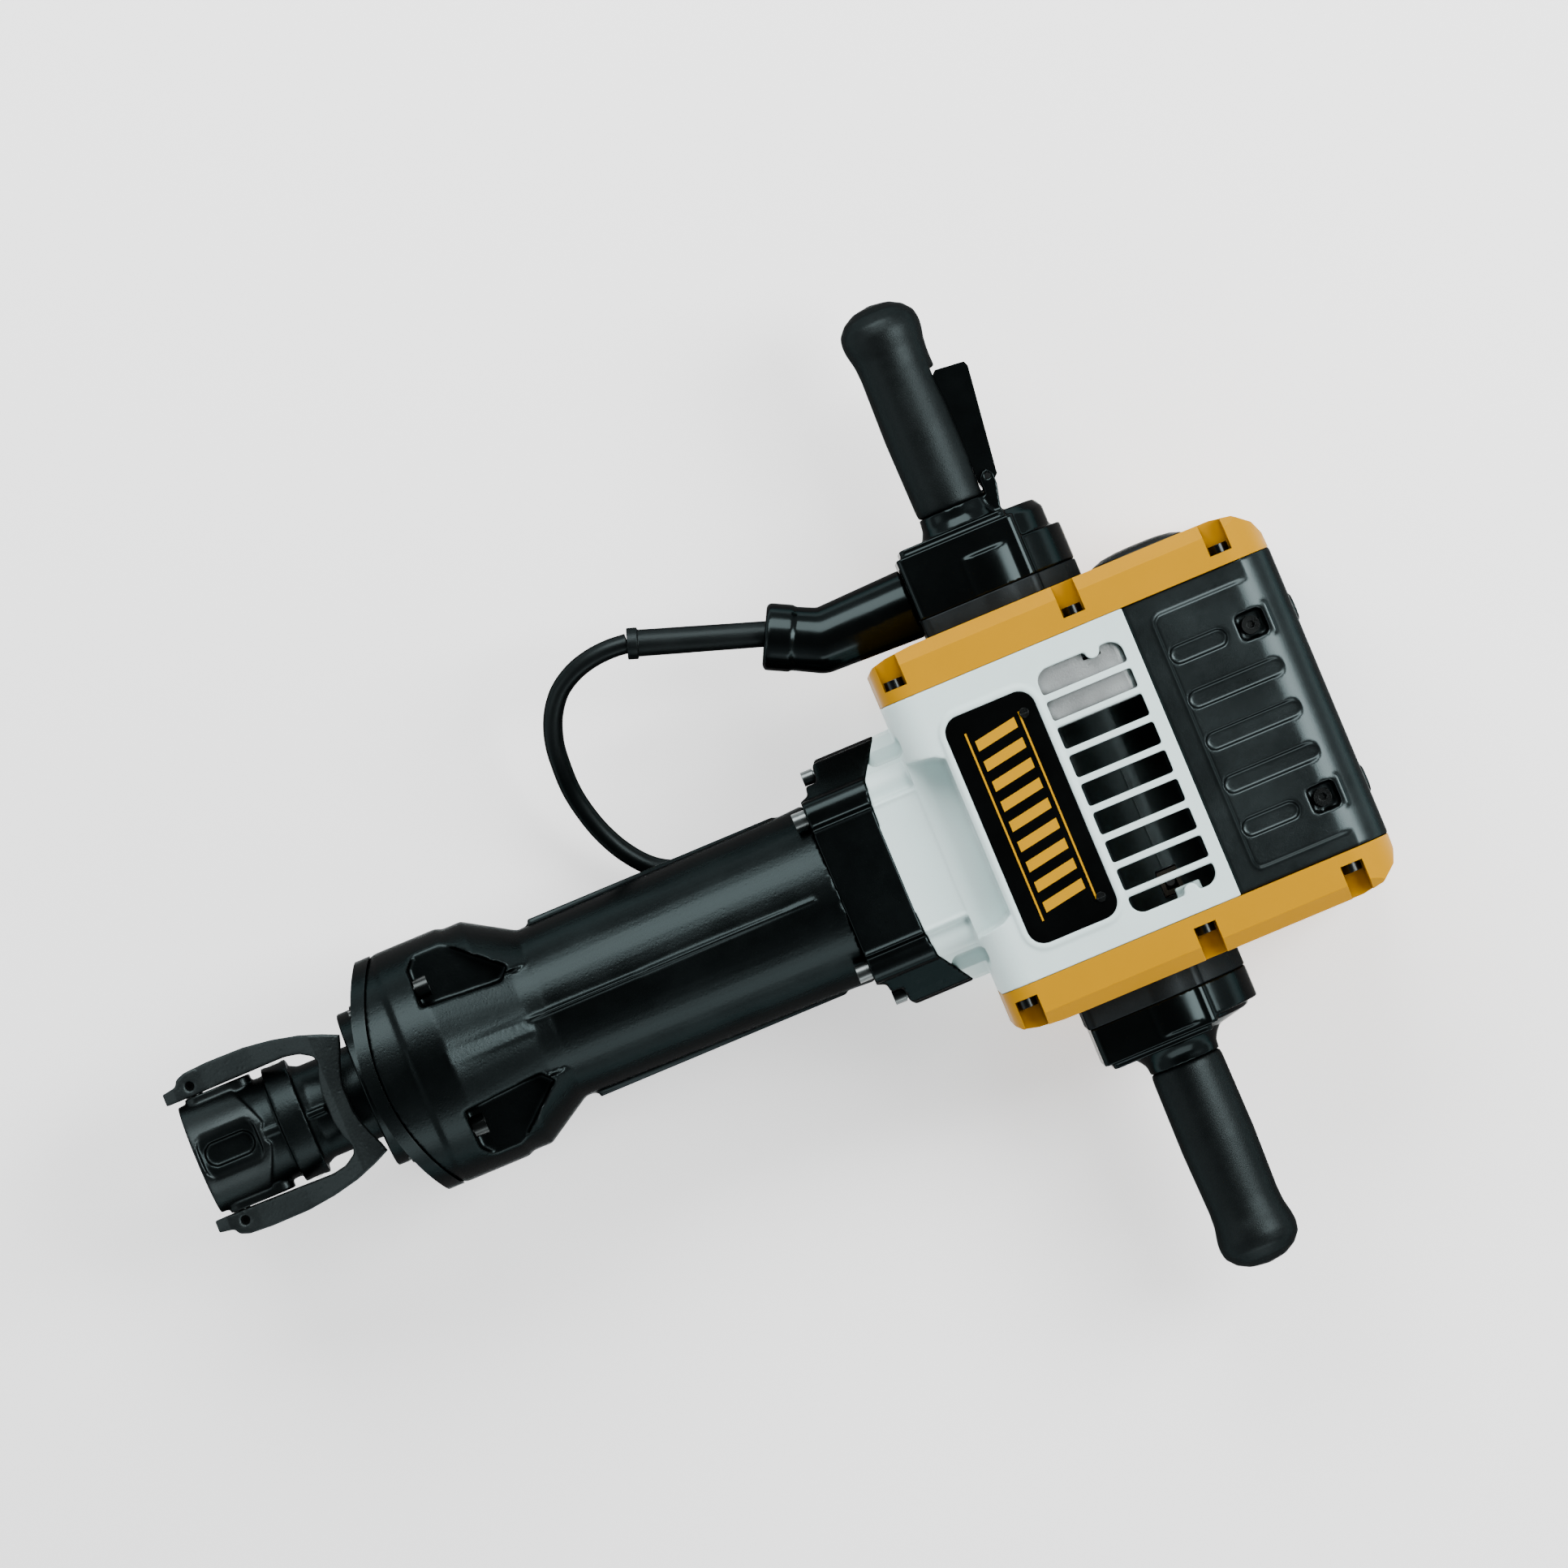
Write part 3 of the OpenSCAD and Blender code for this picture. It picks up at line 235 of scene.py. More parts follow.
def build_grain():
    """Fine surface height: cast pits and moulded grain, with a slow mottle."""
    group, source, target = new_group(
        "surface_grain",
        [("Size", FLOAT, 900.0), ("Pits", FLOAT, 0.3)],
        [("Height", FLOAT), ("Mottle", FLOAT)],
    )
    coords = group.nodes.new("ShaderNodeTexCoord").outputs["Object"]
    fine = noise_node(group, coords, source.outputs["Size"], 4.0, 0.6)
    cells = group.nodes.new("ShaderNodeTexVoronoi")
    group.links.new(coords, cells.inputs["Vector"])
    pit_scale = math_node(group, "MULTIPLY", source.outputs["Size"], PITS_PER_GRAIN)
    group.links.new(pit_scale, cells.inputs["Scale"])
    pits = ramp_between(group, cells.outputs["Distance"], *PIT_SPAN)
    pits = math_node(group, "MULTIPLY", pits, source.outputs["Pits"])
    height = math_node(group, "ADD", fine, pits)
    group.links.new(height, target.inputs["Height"])
    mottle = noise_node(group, coords, MOTTLE_SCALE, 5.0, 0.62)
    group.links.new(mottle, target.inputs["Mottle"])
    return group


def build_dust():
    """Mask of the dust that settles on faces that look up, in soft patches."""
    group, source, target = new_group(
        "settled_dust", [("Amount", FLOAT, 0.3), ("Scale", FLOAT, 30.0)], [("Mask", FLOAT)]
    )
    geometry = group.nodes.new("ShaderNodeNewGeometry")
    split = group.nodes.new("ShaderNodeSeparateXYZ")
    group.links.new(geometry.outputs["Normal"], split.inputs[0])
    up = ramp_between(group, split.outputs["Z"], *DUST_SLOPE)
    coords = group.nodes.new("ShaderNodeTexCoord").outputs["Object"]
    soft = noise_node(group, coords, source.outputs["Scale"], 6.0, 0.7)
    specks = noise_node(group, coords, SPECK_SCALE, 2.0, 0.5)
    soft = ramp_between(group, soft, *DUST_PATCHES)
    specks = ramp_between(group, specks, *DUST_SPECKS)
    soft = math_node(group, "MULTIPLY", soft, PATCH_SHARE)
    both = math_node(group, "ADD", soft, specks)
    mask = math_node(group, "MULTIPLY", both, up)
    mask = math_node(group, "MULTIPLY", mask, source.outputs["Amount"], clamp=True)
    group.links.new(mask, target.inputs["Mask"])
    return group


def build_corner_shade():
    """Mask of painted shade that darkens corners and joints where the surface is closed in."""
    group, source, target = new_group(
        "crevice_grime", [("Reach", FLOAT, 0.005), ("Amount", FLOAT, 0.5)], [("Mask", FLOAT)]
    )
    open_sky = group.nodes.new("ShaderNodeAmbientOcclusion")
    open_sky.samples = MASK_SAMPLES
    group.links.new(source.outputs["Reach"], open_sky.inputs["Distance"])
    closed = math_node(group, "SUBTRACT", 1.0, open_sky.outputs["AO"])
    closed = ramp_between(group, closed, *SHADE_CORNER)
    coords = group.nodes.new("ShaderNodeTexCoord").outputs["Object"]
    patches = noise_node(group, coords, SHADE_SCALE, 4.0, 0.6)
    patches = ramp_between(group, patches, *SHADE_PATCHES)
    mask = math_node(group, "MULTIPLY", closed, patches)
    mask = math_node(group, "MULTIPLY", mask, source.outputs["Amount"], clamp=True)
    group.links.new(mask, target.inputs["Mask"])
    return group


GROUPS = {}


def effect(tree, name, **values):
    """The named effect group placed in a material with its own values."""
    node = tree.nodes.new("ShaderNodeGroup")
    node.node_tree = GROUPS[name]
    for label, value in values.items():
        node.inputs[label].default_value = value
    return node


# The colour sockets of a Mix node, which share their names with its other ones
MIX_A = 6
MIX_B = 7
MIX_RESULT = 2


def blend_colour(tree, mask, below, above):
    """below where mask is 0, above where it is 1; colours are sockets or tuples."""
    node = tree.nodes.new("ShaderNodeMix")
    node.data_type = "RGBA"
    tree.links.new(mask, node.inputs["Factor"])
    for socket, value in ((node.inputs[MIX_A], below), (node.inputs[MIX_B], above)):
        if isinstance(value, bpy.types.NodeSocket):
            tree.links.new(value, socket)
        else:
            socket.default_value = (*value, 1.0)
    return node.outputs[MIX_RESULT]


def shade(colour, factor):
    """A colour made lighter or darker."""
    return tuple(min(1.0, c * factor) for c in colour)


WHITE = (1.0, 1.0, 1.0, 1.0)
DUST = (0.05, 0.048, 0.045)
# Where most of the mottle lies, from 0 to 1
MOTTLE_SPAN = (0.3, 0.7)
# How much rougher settled dust makes a surface
DUST_ROUGH = 0.4
# What is left of a colour in a corner full of painted shade
CORNER_SHADE_LEFT = 0.12
# Rim of the black coats: they stay dark where they are seen edge on
DARK_RIM = (0.1, 0.12, 0.12, 1.0)
ORANGE_GLOSS = (1.0, 0.45, 0.02, 1.0)
# The forged jaw: where along the axis it ends, and the radii between which its
# skin rises out of the machined barrel
JAW_END = 62
JAW_FULL = 50
JAW_INNER = 0.0352
JAW_OUTER = 0.0362


def jaw_mask(tree):
    """1 on the forged jaw at the front of the nose, 0 behind it."""
    split = tree.nodes.new("ShaderNodeSeparateXYZ")
    coords = tree.nodes.new("ShaderNodeTexCoord").outputs["Object"]
    tree.links.new(coords, split.inputs[0])
    ahead = ramp_between(tree, split.outputs["X"], place((JAW_END, 0, 0)).x,
                         place((JAW_FULL, 0, 0)).x)
    height = math_node(tree, "SUBTRACT", split.outputs["Z"], AXIS_H * MM)
    side = math_node(tree, "SUBTRACT", split.outputs["Y"], -MID_Y * MM)
    height = math_node(tree, "POWER", height, 2.0)
    side = math_node(tree, "POWER", side, 2.0)
    square = math_node(tree, "ADD", height, side)
    proud = ramp_between(tree, math_node(tree, "SQRT", square), JAW_INNER, JAW_OUTER)
    return math_node(tree, "MULTIPLY", ahead, proud)


def finish(name, colour, rough=(0.35, 0.5), metallic=0.0, grain=900.0, pits=0.3, bump=0.15,
           mottle=0.25, wear=0.0, wear_colour=(0.1, 0.11, 0.11), wear_metal=0.5, dust=0.1,
           specular=0.3, tint=WHITE, lift=0.0004, front=None, grime=0.0):
    """A painted, moulded or machined surface: mottled colour, grain, worn edges, dust and painted
    shade in its corners.
    """
    material = bpy.data.materials.new(name)
    material.use_nodes = True
    tree = material.node_tree
    shader = tree.nodes["Principled BSDF"]
    texture = effect(tree, "grain", Size=grain, Pits=pits)
    tone = blend_colour(tree, texture.outputs["Mottle"], shade(colour, 1.0 - mottle),
                        shade(colour, 1.0 + mottle))
    if front:
        tone = blend_colour(tree, jaw_mask(tree), tone, front)
    rough_out = map_range(tree, texture.outputs["Mottle"], MOTTLE_SPAN, rough)
    shader.inputs["Metallic"].default_value = metallic
    if wear:
        worn = effect(tree, "wear", Amount=wear).outputs["Mask"]
        tone = blend_colour(tree, worn, tone, wear_colour)
        if wear_metal and not metallic:
            metal = math_node(tree, "MULTIPLY", worn, wear_metal, clamp=True)
            tree.links.new(metal, shader.inputs["Metallic"])
    # Painted shade: corners and joints are darkened where the surface is closed in
    if grime:
        shaded_corners = effect(tree, "crevice", Amount=grime).outputs["Mask"]
        tone = blend_colour(tree, shaded_corners, tone, shade(colour, CORNER_SHADE_LEFT))
    if dust:
        settled = effect(tree, "dust", Amount=dust).outputs["Mask"]
        tone = blend_colour(tree, settled, tone, DUST)
        dusty = math_node(tree, "MULTIPLY", settled, DUST_ROUGH)
        rough_out = math_node(tree, "ADD", rough_out, dusty, clamp=True)
    tree.links.new(tone, shader.inputs["Base Color"])
    tree.links.new(rough_out, shader.inputs["Roughness"])
    shader.inputs["Specular IOR Level"].default_value = specular
    shader.inputs["Specular Tint"].default_value = tint
    relief = tree.nodes.new("ShaderNodeBump")
    relief.inputs["Strength"].default_value = bump
    relief.inputs["Distance"].default_value = lift
    tree.links.new(texture.outputs["Height"], relief.inputs["Height"])
    tree.links.new(relief.outputs["Normal"], shader.inputs["Normal"])
    return material


FINISHES = {}
FLOOR_GLOW = 0.8


def make_finishes(colours):
    """Every finish of the tool, by name."""
    GROUPS.update(wear=build_edge_wear(), grain=build_grain(), dust=build_dust(),
                  crevice=build_corner_shade())
    base = {key: tuple(getattr(colours, key)) for key in HammerColours.__annotations__}
    black = {"metallic": 0.94, "tint": DARK_RIM}
    FINISHES.update(
        casting=finish("cast_black", base["casting"], (0.25, 0.34), grain=650.0, pits=0.5,
                       bump=0.2, wear=0.12, dust=0.02, **black),
        case=finish("case_black", base["casting"], (0.22, 0.3), grain=1100.0, bump=0.1,
                    wear=0.2, dust=0.015, **black),
        nose=finish("nose_steel", base["casting"], (0.28, 0.4), grain=800.0, bump=0.25,
                    wear=0.2, dust=0.02, front=shade(base["forging"], 0.6), **black),
        forging=finish("forged_steel", base["forging"], (0.4, 0.52), grain=500.0, pits=0.7,
                       bump=0.45, mottle=0.4, wear=0.3, dust=0.04, lift=0.0005, **black),
        housing=finish("housing_grey", base["housing"], (0.34, 0.44), grain=1300.0, pits=0.1,
                       bump=0.06, mottle=0.035, wear=0.12, wear_colour=(0.35, 0.37, 0.37),
                       dust=0.05, grime=0.9),
        cover=finish("cover_orange", base["cover"], (0.34, 0.46), grain=1200.0, pits=0.15,
                     bump=0.06, mottle=0.05, wear=0.15, wear_colour=(0.3, 0.1, 0.0),
                     wear_metal=0.0, dust=0.02, specular=0.1, tint=ORANGE_GLOSS, grime=0.75),
        plastic=finish("moulded_black", base["plastic"], (0.27, 0.35), grain=1500.0, pits=0.4,
                       bump=0.12, dust=0.03, **black),
        gloss=finish("gloss_black", base["gloss"], (0.15, 0.23), grain=300.0, pits=0.0,
                     bump=0.02, mottle=0.2, dust=0.01, **black),
        rubber=finish("grip_rubber", base["rubber"], (0.36, 0.48), grain=1400.0, pits=0.5,
                      bump=0.3, dust=0.03, **black),
        pad=finish("pad_rubber", (0.018, 0.0215, 0.023), (0.42, 0.55), grain=900.0, pits=0.4,
                   bump=0.25, dust=0.05, **black),
        cord=finish("cord_rubber", base["rubber"], (0.34, 0.44), grain=1200.0, bump=0.15,
                    dust=0.03, **black),
        steel=finish("machined_steel", base["steel"], (0.2, 0.34), metallic=1.0, grain=1800.0,
                     pits=0.0, bump=0.05, mottle=0.12, dust=0.0),
        zinc=finish("zinc_screws", (0.11, 0.125, 0.125), (0.26, 0.4), metallic=1.0,
                    grain=1500.0, bump=0.1, mottle=0.25, dust=0.05),
        dark_screw=finish("black_screws", (0.03, 0.034, 0.034), (0.22, 0.32), metallic=1.0,
                          grain=1500.0, bump=0.1, dust=0.05),
        aluminium=finish("cast_aluminium", (0.3, 0.32, 0.32), (0.38, 0.5), metallic=0.85,
                         grain=700.0, bump=0.3, mottle=0.35, dust=0.03, grime=0.9),
        copper=finish("copper_winding", (0.5, 0.17, 0.06), (0.25, 0.4), metallic=0.9,
                      grain=500.0, bump=0.4, mottle=0.3, dust=0.02),
        brass=finish("brass_plain", (0.6, 0.42, 0.16), (0.22, 0.34), metallic=1.0,
                     grain=1500.0, bump=0.05, dust=0.0),
        dull_brass=finish("brass_tarnished", (0.03, 0.026, 0.02), (0.35, 0.5), metallic=0.8,
                          grain=900.0, bump=0.1, mottle=0.35, dust=0.05),
        carbon=finish("carbon_brush", (0.012, 0.012, 0.012), (0.5, 0.65), grain=900.0,
                      dust=0.0),
        can=finish("motor_shell", (0.07, 0.088, 0.09), (0.3, 0.42), metallic=0.9,
                   grain=900.0, bump=0.15, dust=0.02),
        plate=finish("plate_black", (0.012, 0.014, 0.014), (0.16, 0.24), grain=400.0,
                     pits=0.0, bump=0.02, dust=0.01, **black),
        stripe=finish("plate_yellow", (0.44, 0.218, 0.0), (0.3, 0.4), grain=900.0, pits=0.0,
                      bump=0.03, mottle=0.05, dust=0.02, specular=0.08, tint=ORANGE_GLOSS),
        floor=finish("studio_floor", base["floor"], (0.55, 0.65), grain=60.0, pits=0.0,
                     bump=0.0, mottle=0.008, dust=0.0, specular=0.2),
    )
    # The floor gives off a little light of its own, so that it stays pale all over
    glow = FINISHES["floor"].node_tree.nodes["Principled BSDF"]
    glow.inputs["Emission Color"].default_value = WHITE
    glow.inputs["Emission Strength"].default_value = FLOOR_GLOW


# --------------------------------------------------------------- CAD pieces


def new_object(name, data):
    """A new object of the scene, at the origin."""
    piece = bpy.data.objects.new(name, data)
    bpy.context.scene.collection.objects.link(piece)
    return piece


def paint(node, finish_name):
    """Gives a CAD node its finish."""
    piece = NODES[node]
    piece.data.materials.clear()
    piece.data.materials.append(FINISHES[finish_name])
    for face in piece.data.polygons:
        face.material_index = 0
    return piece


# Points closer than this, in metres, are one point, faces flatter than this are
# one face, and edges sharper than this are rounded
WELD_GAP = 0.00001
FLAT_ANGLE = math.radians(0.7)
SHARP_ANGLE = math.radians(28)
FACE_WEIGHT = 80
SMOOTH_STRENGTH = 0.5
# Roundings of the small pieces' edges, in metres
SCREW_EDGE = 0.0002
FINE_EDGE = 0.0004
BOLT_EDGE = 0.0005
DOME_EDGE = 0.0006
PLUG_EDGE = 0.0008
SOFT_EDGE = 0.001


def dress(node, finish_name, edge=0.0, steps=2):
    """A CAD node with its finish and, with edge, machined round edges."""
    piece = paint(node, finish_name)
    if not edge:
        return
    weld = piece.modifiers.new("joined", "WELD")
    weld.merge_threshold = WELD_GAP
    flat = piece.modifiers.new("flat_faces", "DECIMATE")
    flat.decimate_type = "DISSOLVE"
    flat.angle_limit = FLAT_ANGLE
    rounded = piece.modifiers.new("rounded_edges", "BEVEL")
    rounded.limit_method = "ANGLE"
    rounded.angle_limit = SHARP_ANGLE
    rounded.width = edge
    rounded.segments = steps
    normals = piece.modifiers.new("even_shading", "WEIGHTED_NORMAL")
    normals.mode = "FACE_AREA"
    normals.weight = FACE_WEIGHT


def cast(node, finish_name, grid, passes=5, keep=0.4):
    """A CAD node with its finish and soft cast or moulded edges.

    grid is its fineness in metres, passes how often it is smoothed, keep the share of
    its faces that stay.
    """
    piece = paint(node, finish_name)
    skin = piece.modifiers.new("cast_skin", "REMESH")
    skin.mode = "VOXEL"
    skin.voxel_size = grid
    skin.use_smooth_shade = True
    soft = piece.modifiers.new("soft_edges", "SMOOTH")
    soft.factor = SMOOTH_STRENGTH
    soft.iterations = passes
    light = piece.modifiers.new("fewer_faces", "DECIMATE")
    light.ratio = keep


# -------------------------------------------------------------- supply cord

# Route of the cord from its boot to the hank, and from the hank to the plug,
# in the tool's own frame
CORD_ROUTE = [
    (392, 203, 0), (380, 204, -1), (366, 203, -4), (352, 199, -8),
    (339, 191, -14), (329, 178, -21), (323, 162, -29), (321, 145, -37),
    (321, 128, -45), (324, 111, -52), (329, 95, -58), (337, 79, -63),
    (348, 65, -67), (361, 56, -69), (377, 51.5, -69.2), (392, 51, -69.2),
]
TAIL_ROUTE = [
    (466, -40, -95.2), (452, -39.5, -95), (438, -36.5, -94.2), (424, -31, -92.8),
    (410, -23.5, -91), (396, -15, -89), (382, -8, -87.7), (369, -3, -87),
    (358, -1, -87),
]
# Steps between the points of a route
ROUTE_STEPS = 4
# Where the hank folds at its front and at its rear, and where the cord joins it
HANK_FRONT = 310.5
HANK_REAR = 467.5
HANK_JOIN = 400
# Each turn of the hank: the y of its run on the switch side, the y of its run
# on the other side, and its height
HANK_TURNS = [
    (51, -53, -69.2), (38, -40, -69.2), (38, -40, -82.2),
    (51, -53, -82.2), (51, -53, -95.2), (38, -40, -95.2),
]
# Steps of each fold; spacing of the points on a straight run, how far the
# first of them is from the fold behind it, and how many there are on a whole
# run and on the first one
FOLD_STEPS = 16
RUN_STEP = 12
RUN_GAP = 11.5
RUN_POINTS = 12
JOIN_POINTS = 6
CORD_ROUNDNESS = 5


def curve_through(points, steps):
    """A smooth line through points, with steps points on each stretch."""
    line = []
    for i in range(len(points) - 1):
        a = Vector(points[max(i - 1, 0)])
        b = Vector(points[i])
        c = Vector(points[i + 1])
        d = Vector(points[min(i + 2, len(points) - 1)])
        for k in range(steps):
            t = k / steps
            line.append(0.5 * (2 * b + (c - a) * t + (2 * a - 5 * b + 4 * c - d) * t ** 2
                               + (3 * b - a - 3 * c + d) * t ** 3))
    line.append(Vector(points[-1]))
    return line


def fold(x, start, end, side):
    """Half a turn at x from (y, z) start to end, towards the front (-1) or rear (1)."""
    y0, z0 = start
    y1, z1 = end
    middle = (y0 + y1) / 2
    radius = abs(y1 - y0) / 2
    way = 1 if y0 > y1 else -1
    points = []
    for k in range(FOLD_STEPS + 1):
        t = k / FOLD_STEPS
        angle = math.pi * t
        ease = t * t * (3 - 2 * t)
        points.append(Vector((x + side * radius * math.sin(angle),
                              middle + way * radius * math.cos(angle), z0 + (z1 - z0) * ease)))
    return points


def run(y, z, start, way, count):
    """count points of a straight run from x = start, towards the front (-1) or rear (1)."""
    return [Vector((start + way * RUN_STEP * k, y, z)) for k in range(count)]


def hank_line():
    """The folded turns, from where the cord comes in to where its tail leaves."""
    side, _, level = HANK_TURNS[0]
    line = run(side, level, HANK_JOIN, 1, JOIN_POINTS)
    for i, (near, far, height) in enumerate(HANK_TURNS):
        line += fold(HANK_REAR, (near, height), (far, height), 1)
        if i == len(HANK_TURNS) - 1:
            break
        side, _, level = HANK_TURNS[i + 1]
        line += run(far, height, HANK_REAR - RUN_GAP, -1, RUN_POINTS)
        line += fold(HANK_FRONT, (far, height), (side, level), -1)
        line += run(side, level, HANK_FRONT + RUN_GAP, 1, RUN_POINTS)
    return line


def make_cord(sizes):
    """The whole cord as one curve, from its boot to its plug."""
    line = (curve_through(CORD_ROUTE, ROUTE_STEPS) + hank_line()
            + curve_through(TAIL_ROUTE, ROUTE_STEPS))
    points = [place(p) for p in line]
    data = bpy.data.curves.new("supply_cord", "CURVE")
    data.dimensions = "3D"
    data.bevel_depth = sizes.cord_d / 2
    data.bevel_resolution = CORD_ROUNDNESS
    data.use_fill_caps = True
    spline = data.splines.new("POLY")
    spline.points.add(len(points) - 1)
    for point, place_at in zip(spline.points, points):
        point.co = (*place_at, 1.0)
    spline.use_smooth = True
    cord = new_object("supply_cord", data)
    data.materials.append(FINISHES["cord"])
    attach(cord, "tool")
    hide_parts("cord_run", "cord_hank")
    tie = make_tie()


# The strap round the hank: its outline (y, z), the middle of that, where along
# the tool it is, its half width and its thickness
TIE_OUTLINE = [
    (-61, -99), (-61, -65), (-58, -62.4), (-34, -62.4), (-31, -65), (-31, -99),
    (-34, -101.6), (-58, -101.6),
]
TIE_MIDDLE = (-46, -82)
TIE_AT = 386
TIE_HALF = 6.0
TIE_THICK = 1.2


def make_tie():
    """A strap round the middle of the hank's far side."""
    verts = []
    count = len(TIE_OUTLINE)
    for x in (TIE_AT - TIE_HALF, TIE_AT + TIE_HALF):
        for inset in (0.0, TIE_THICK):
            for y, z in TIE_OUTLINE:
                dy = TIE_MIDDLE[0] - y
                dz = TIE_MIDDLE[1] - z
                span = math.hypot(dy, dz)
                verts.append(place((x, y + dy / span * inset, z + dz / span * inset)))
    faces = []
    for k in range(count):
        n = (k + 1) % count
        faces.append((k, n, 2 * count + n, 2 * count + k))
        faces.append((count + k, 3 * count + k, 3 * count + n, count + n))
        faces.append((k, count + k, count + n, n))
        faces.append((2 * count + k, 2 * count + n, 3 * count + n, 3 * count + k))
    mesh = bpy.data.meshes.new("cord_tie")
    mesh.from_pydata(verts, [], faces)
    mesh.validate()
    tie = new_object("cord_tie", mesh)
    mesh.materials.append(FINISHES["pad"])
    rounded = tie.modifiers.new("rounded_edges", "BEVEL")
    rounded.width = FINE_EDGE
    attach(tie, "tool")
    return tie


# ---------------------------------------------------------------- nameplate

# The print on the plate: the x of its two lines, their half width and their
# ends; the x of the bars' ends, the lowest bar, their number, spacing, slant
# and width
LINES_X = (570.5, 607.5)
LINE_HALF = 0.6
LINE_Y = (-66, 64)
BARS_X = (574.5, 603.5)
BARS_Y = -62
BAR_COUNT = 9
BAR_PITCH = 14
BAR_SLANT = 5
BAR_WIDTH = 7
# The print's underside and top, from the face of the plate, in metres
PRINT_LEVELS = (-0.0001, 0.00012)


def make_stripes():
    """Two thin lines and a row of slanted bars printed on the plate."""
    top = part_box("nameplate")[1][2]
    bars = []
    start, end = LINE_Y
    for x in LINES_X:
        left = x - LINE_HALF
        right = x + LINE_HALF
        bars.append([(left, start), (right, start), (right, end), (left, end)])
    left, right = BARS_X
    for k in range(BAR_COUNT):
        y = BARS_Y + BAR_PITCH * k
        raised = y + BAR_SLANT
        bars.append([(left, y), (right, raised), (right, raised + BAR_WIDTH),
                     (left, y + BAR_WIDTH)])
    verts = []
    faces = []
    for bar in bars:
        first = len(verts)
        for lift in PRINT_LEVELS:
            for x, y in bar:
                spot = place((x, y, 0))
                verts.append((spot.x, spot.y, top + lift))
        ring = range(4)
        faces.append([first + 4 + k for k in ring])
        faces.append([first + 3 - k for k in ring])
        for k in ring:
            n = (k + 1) % 4
            faces.append([first + k, first + n, first + 4 + n, first + 4 + k])
    mesh = bpy.data.meshes.new("plate_stripes")
    mesh.from_pydata(verts, [], faces)
    stripes = new_object("plate_stripes", mesh)
    mesh.materials.append(FINISHES["stripe"])
    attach(stripes, "tool")


# ------------------------------------------------------------------- studio

# Name, place, size (width, height) and power of each light, in metres and watts
LIGHTS = (
    ("key_light", (0.15, 1.55, 1.45), (1.9, 1.2), 62.0),
    ("fill_light", (0.1, -1.9, 0.95), (1.9, 0.9), 18.0),
    ("rear_light", (1.45, 0.0, 1.6), (0.8, 1.3), 48.0),
    ("nose_light", (-2.0, 0.3, 1.3), (1.0, 1.0), 5.0),
)
LIGHT_TARGET = Vector((0.0, 0.0, 0.1))


def area_light(name, location, size, energy):
    """A soft light that looks at the middle of the tool."""
    data = bpy.data.lights.new(name, "AREA")
    data.shape = "RECTANGLE"
    data.size = size[0]
    data.size_y = size[1]
    data.energy = energy
    light = new_object(name, data)
    light.location = location
    look = LIGHT_TARGET - Vector(location)
    light.rotation_euler = look.to_track_quat("-Z", "Y").to_euler()


SENSOR = 36.0
# The point of the tool under the camera, and how far the tool is turned
VIEW_POINT = (450.9, 79.2, 0)
VIEW_TURN = math.radians(-22.7)
VIEW_REACH = 30.0


def make_camera(sizes):
    """The camera looks straight down, turned so that the tool lies at a slant."""
    data = bpy.data.cameras.new("camera")
    data.sensor_width = SENSOR
    data.lens = SENSOR * sizes.view_height / sizes.view_width
    data.clip_end = VIEW_REACH
    camera = new_object("camera", data)
    spot = place(VIEW_POINT)
    camera.location = (spot.x, spot.y, spot.z + sizes.view_height)
    camera.rotation_euler = (0.0, 0.0, VIEW_TURN)
    bpy.context.scene.camera = camera


# The studio's walls and ceiling: heights between which the light fades, as
# parts of the way up, and its strength at each
FADE_HEIGHTS = (0.55, 0.95)
FADE_LIGHT = (0.6, 0.06)
WALL_TINT = (0.96, 0.98, 1.0, 1.0)


def make_world():
    """Even pale light from all round, weaker from straight above."""
    world = bpy.data.worlds.new("studio_light")
    world.use_nodes = True
    tree = world.node_tree
    background = tree.nodes["Background"]
    coords = tree.nodes.new("ShaderNodeTexCoord")
    split = tree.nodes.new("ShaderNodeSeparateXYZ")
    tree.links.new(coords.outputs["Generated"], split.inputs[0])
    fade = map_range(tree, split.outputs["Z"], FADE_HEIGHTS, FADE_LIGHT)
    tree.links.new(fade, background.inputs["Strength"])
    background.inputs["Color"].default_value = WALL_TINT
    bpy.context.scene.world = world


FLOOR_HALF = 12.0


def make_floor():
    """A wide pale floor."""
    mesh = bpy.data.meshes.new("floor")
    half = FLOOR_HALF
    mesh.from_pydata(
        [(-half, -half, 0), (half, -half, 0), (half, half, 0), (-half, half, 0)], [],
        [(0, 1, 2, 3)],
    )
    floor = new_object("floor", mesh)
    mesh.materials.append(FINISHES["floor"])


# ---------------------------------------------------------------- operators


class HAMMER_OT_camera(bpy.types.Operator):
    """Put the camera in place"""

    bl_idname = "hammer.camera"
    bl_label = "Camera"

    def execute(self, context):
        sizes = context.scene.hammer_sizes
        make_camera(sizes)
        return {"FINISHED"}


class HAMMER_OT_finishes(bpy.types.Operator):
    """Mix the finishes of every piece"""

    bl_idname = "hammer.finishes"
    bl_label = "Finishes"

    def execute(self, context):
        make_finishes(context.scene.hammer_colours)
        return {"FINISHED"}


class HAMMER_OT_cord(bpy.types.Operator):
    """Lay the supply cord and its hank"""

    bl_idname = "hammer.cord"
    bl_label = "Supply cord"

    def execute(self, context):
        sizes = context.scene.hammer_sizes
        make_cord(sizes)
        cast("cord_elbow", "gloss", grid=0.0010, passes=8, keep=1.0)
        dress("strain_relief", "rubber", DOME_EDGE, sizes.edge_steps)
        dress("plug_body", "plastic", PLUG_EDGE, sizes.edge_steps)
        dress("plug_blades", "brass")
        return {"FINISHED"}


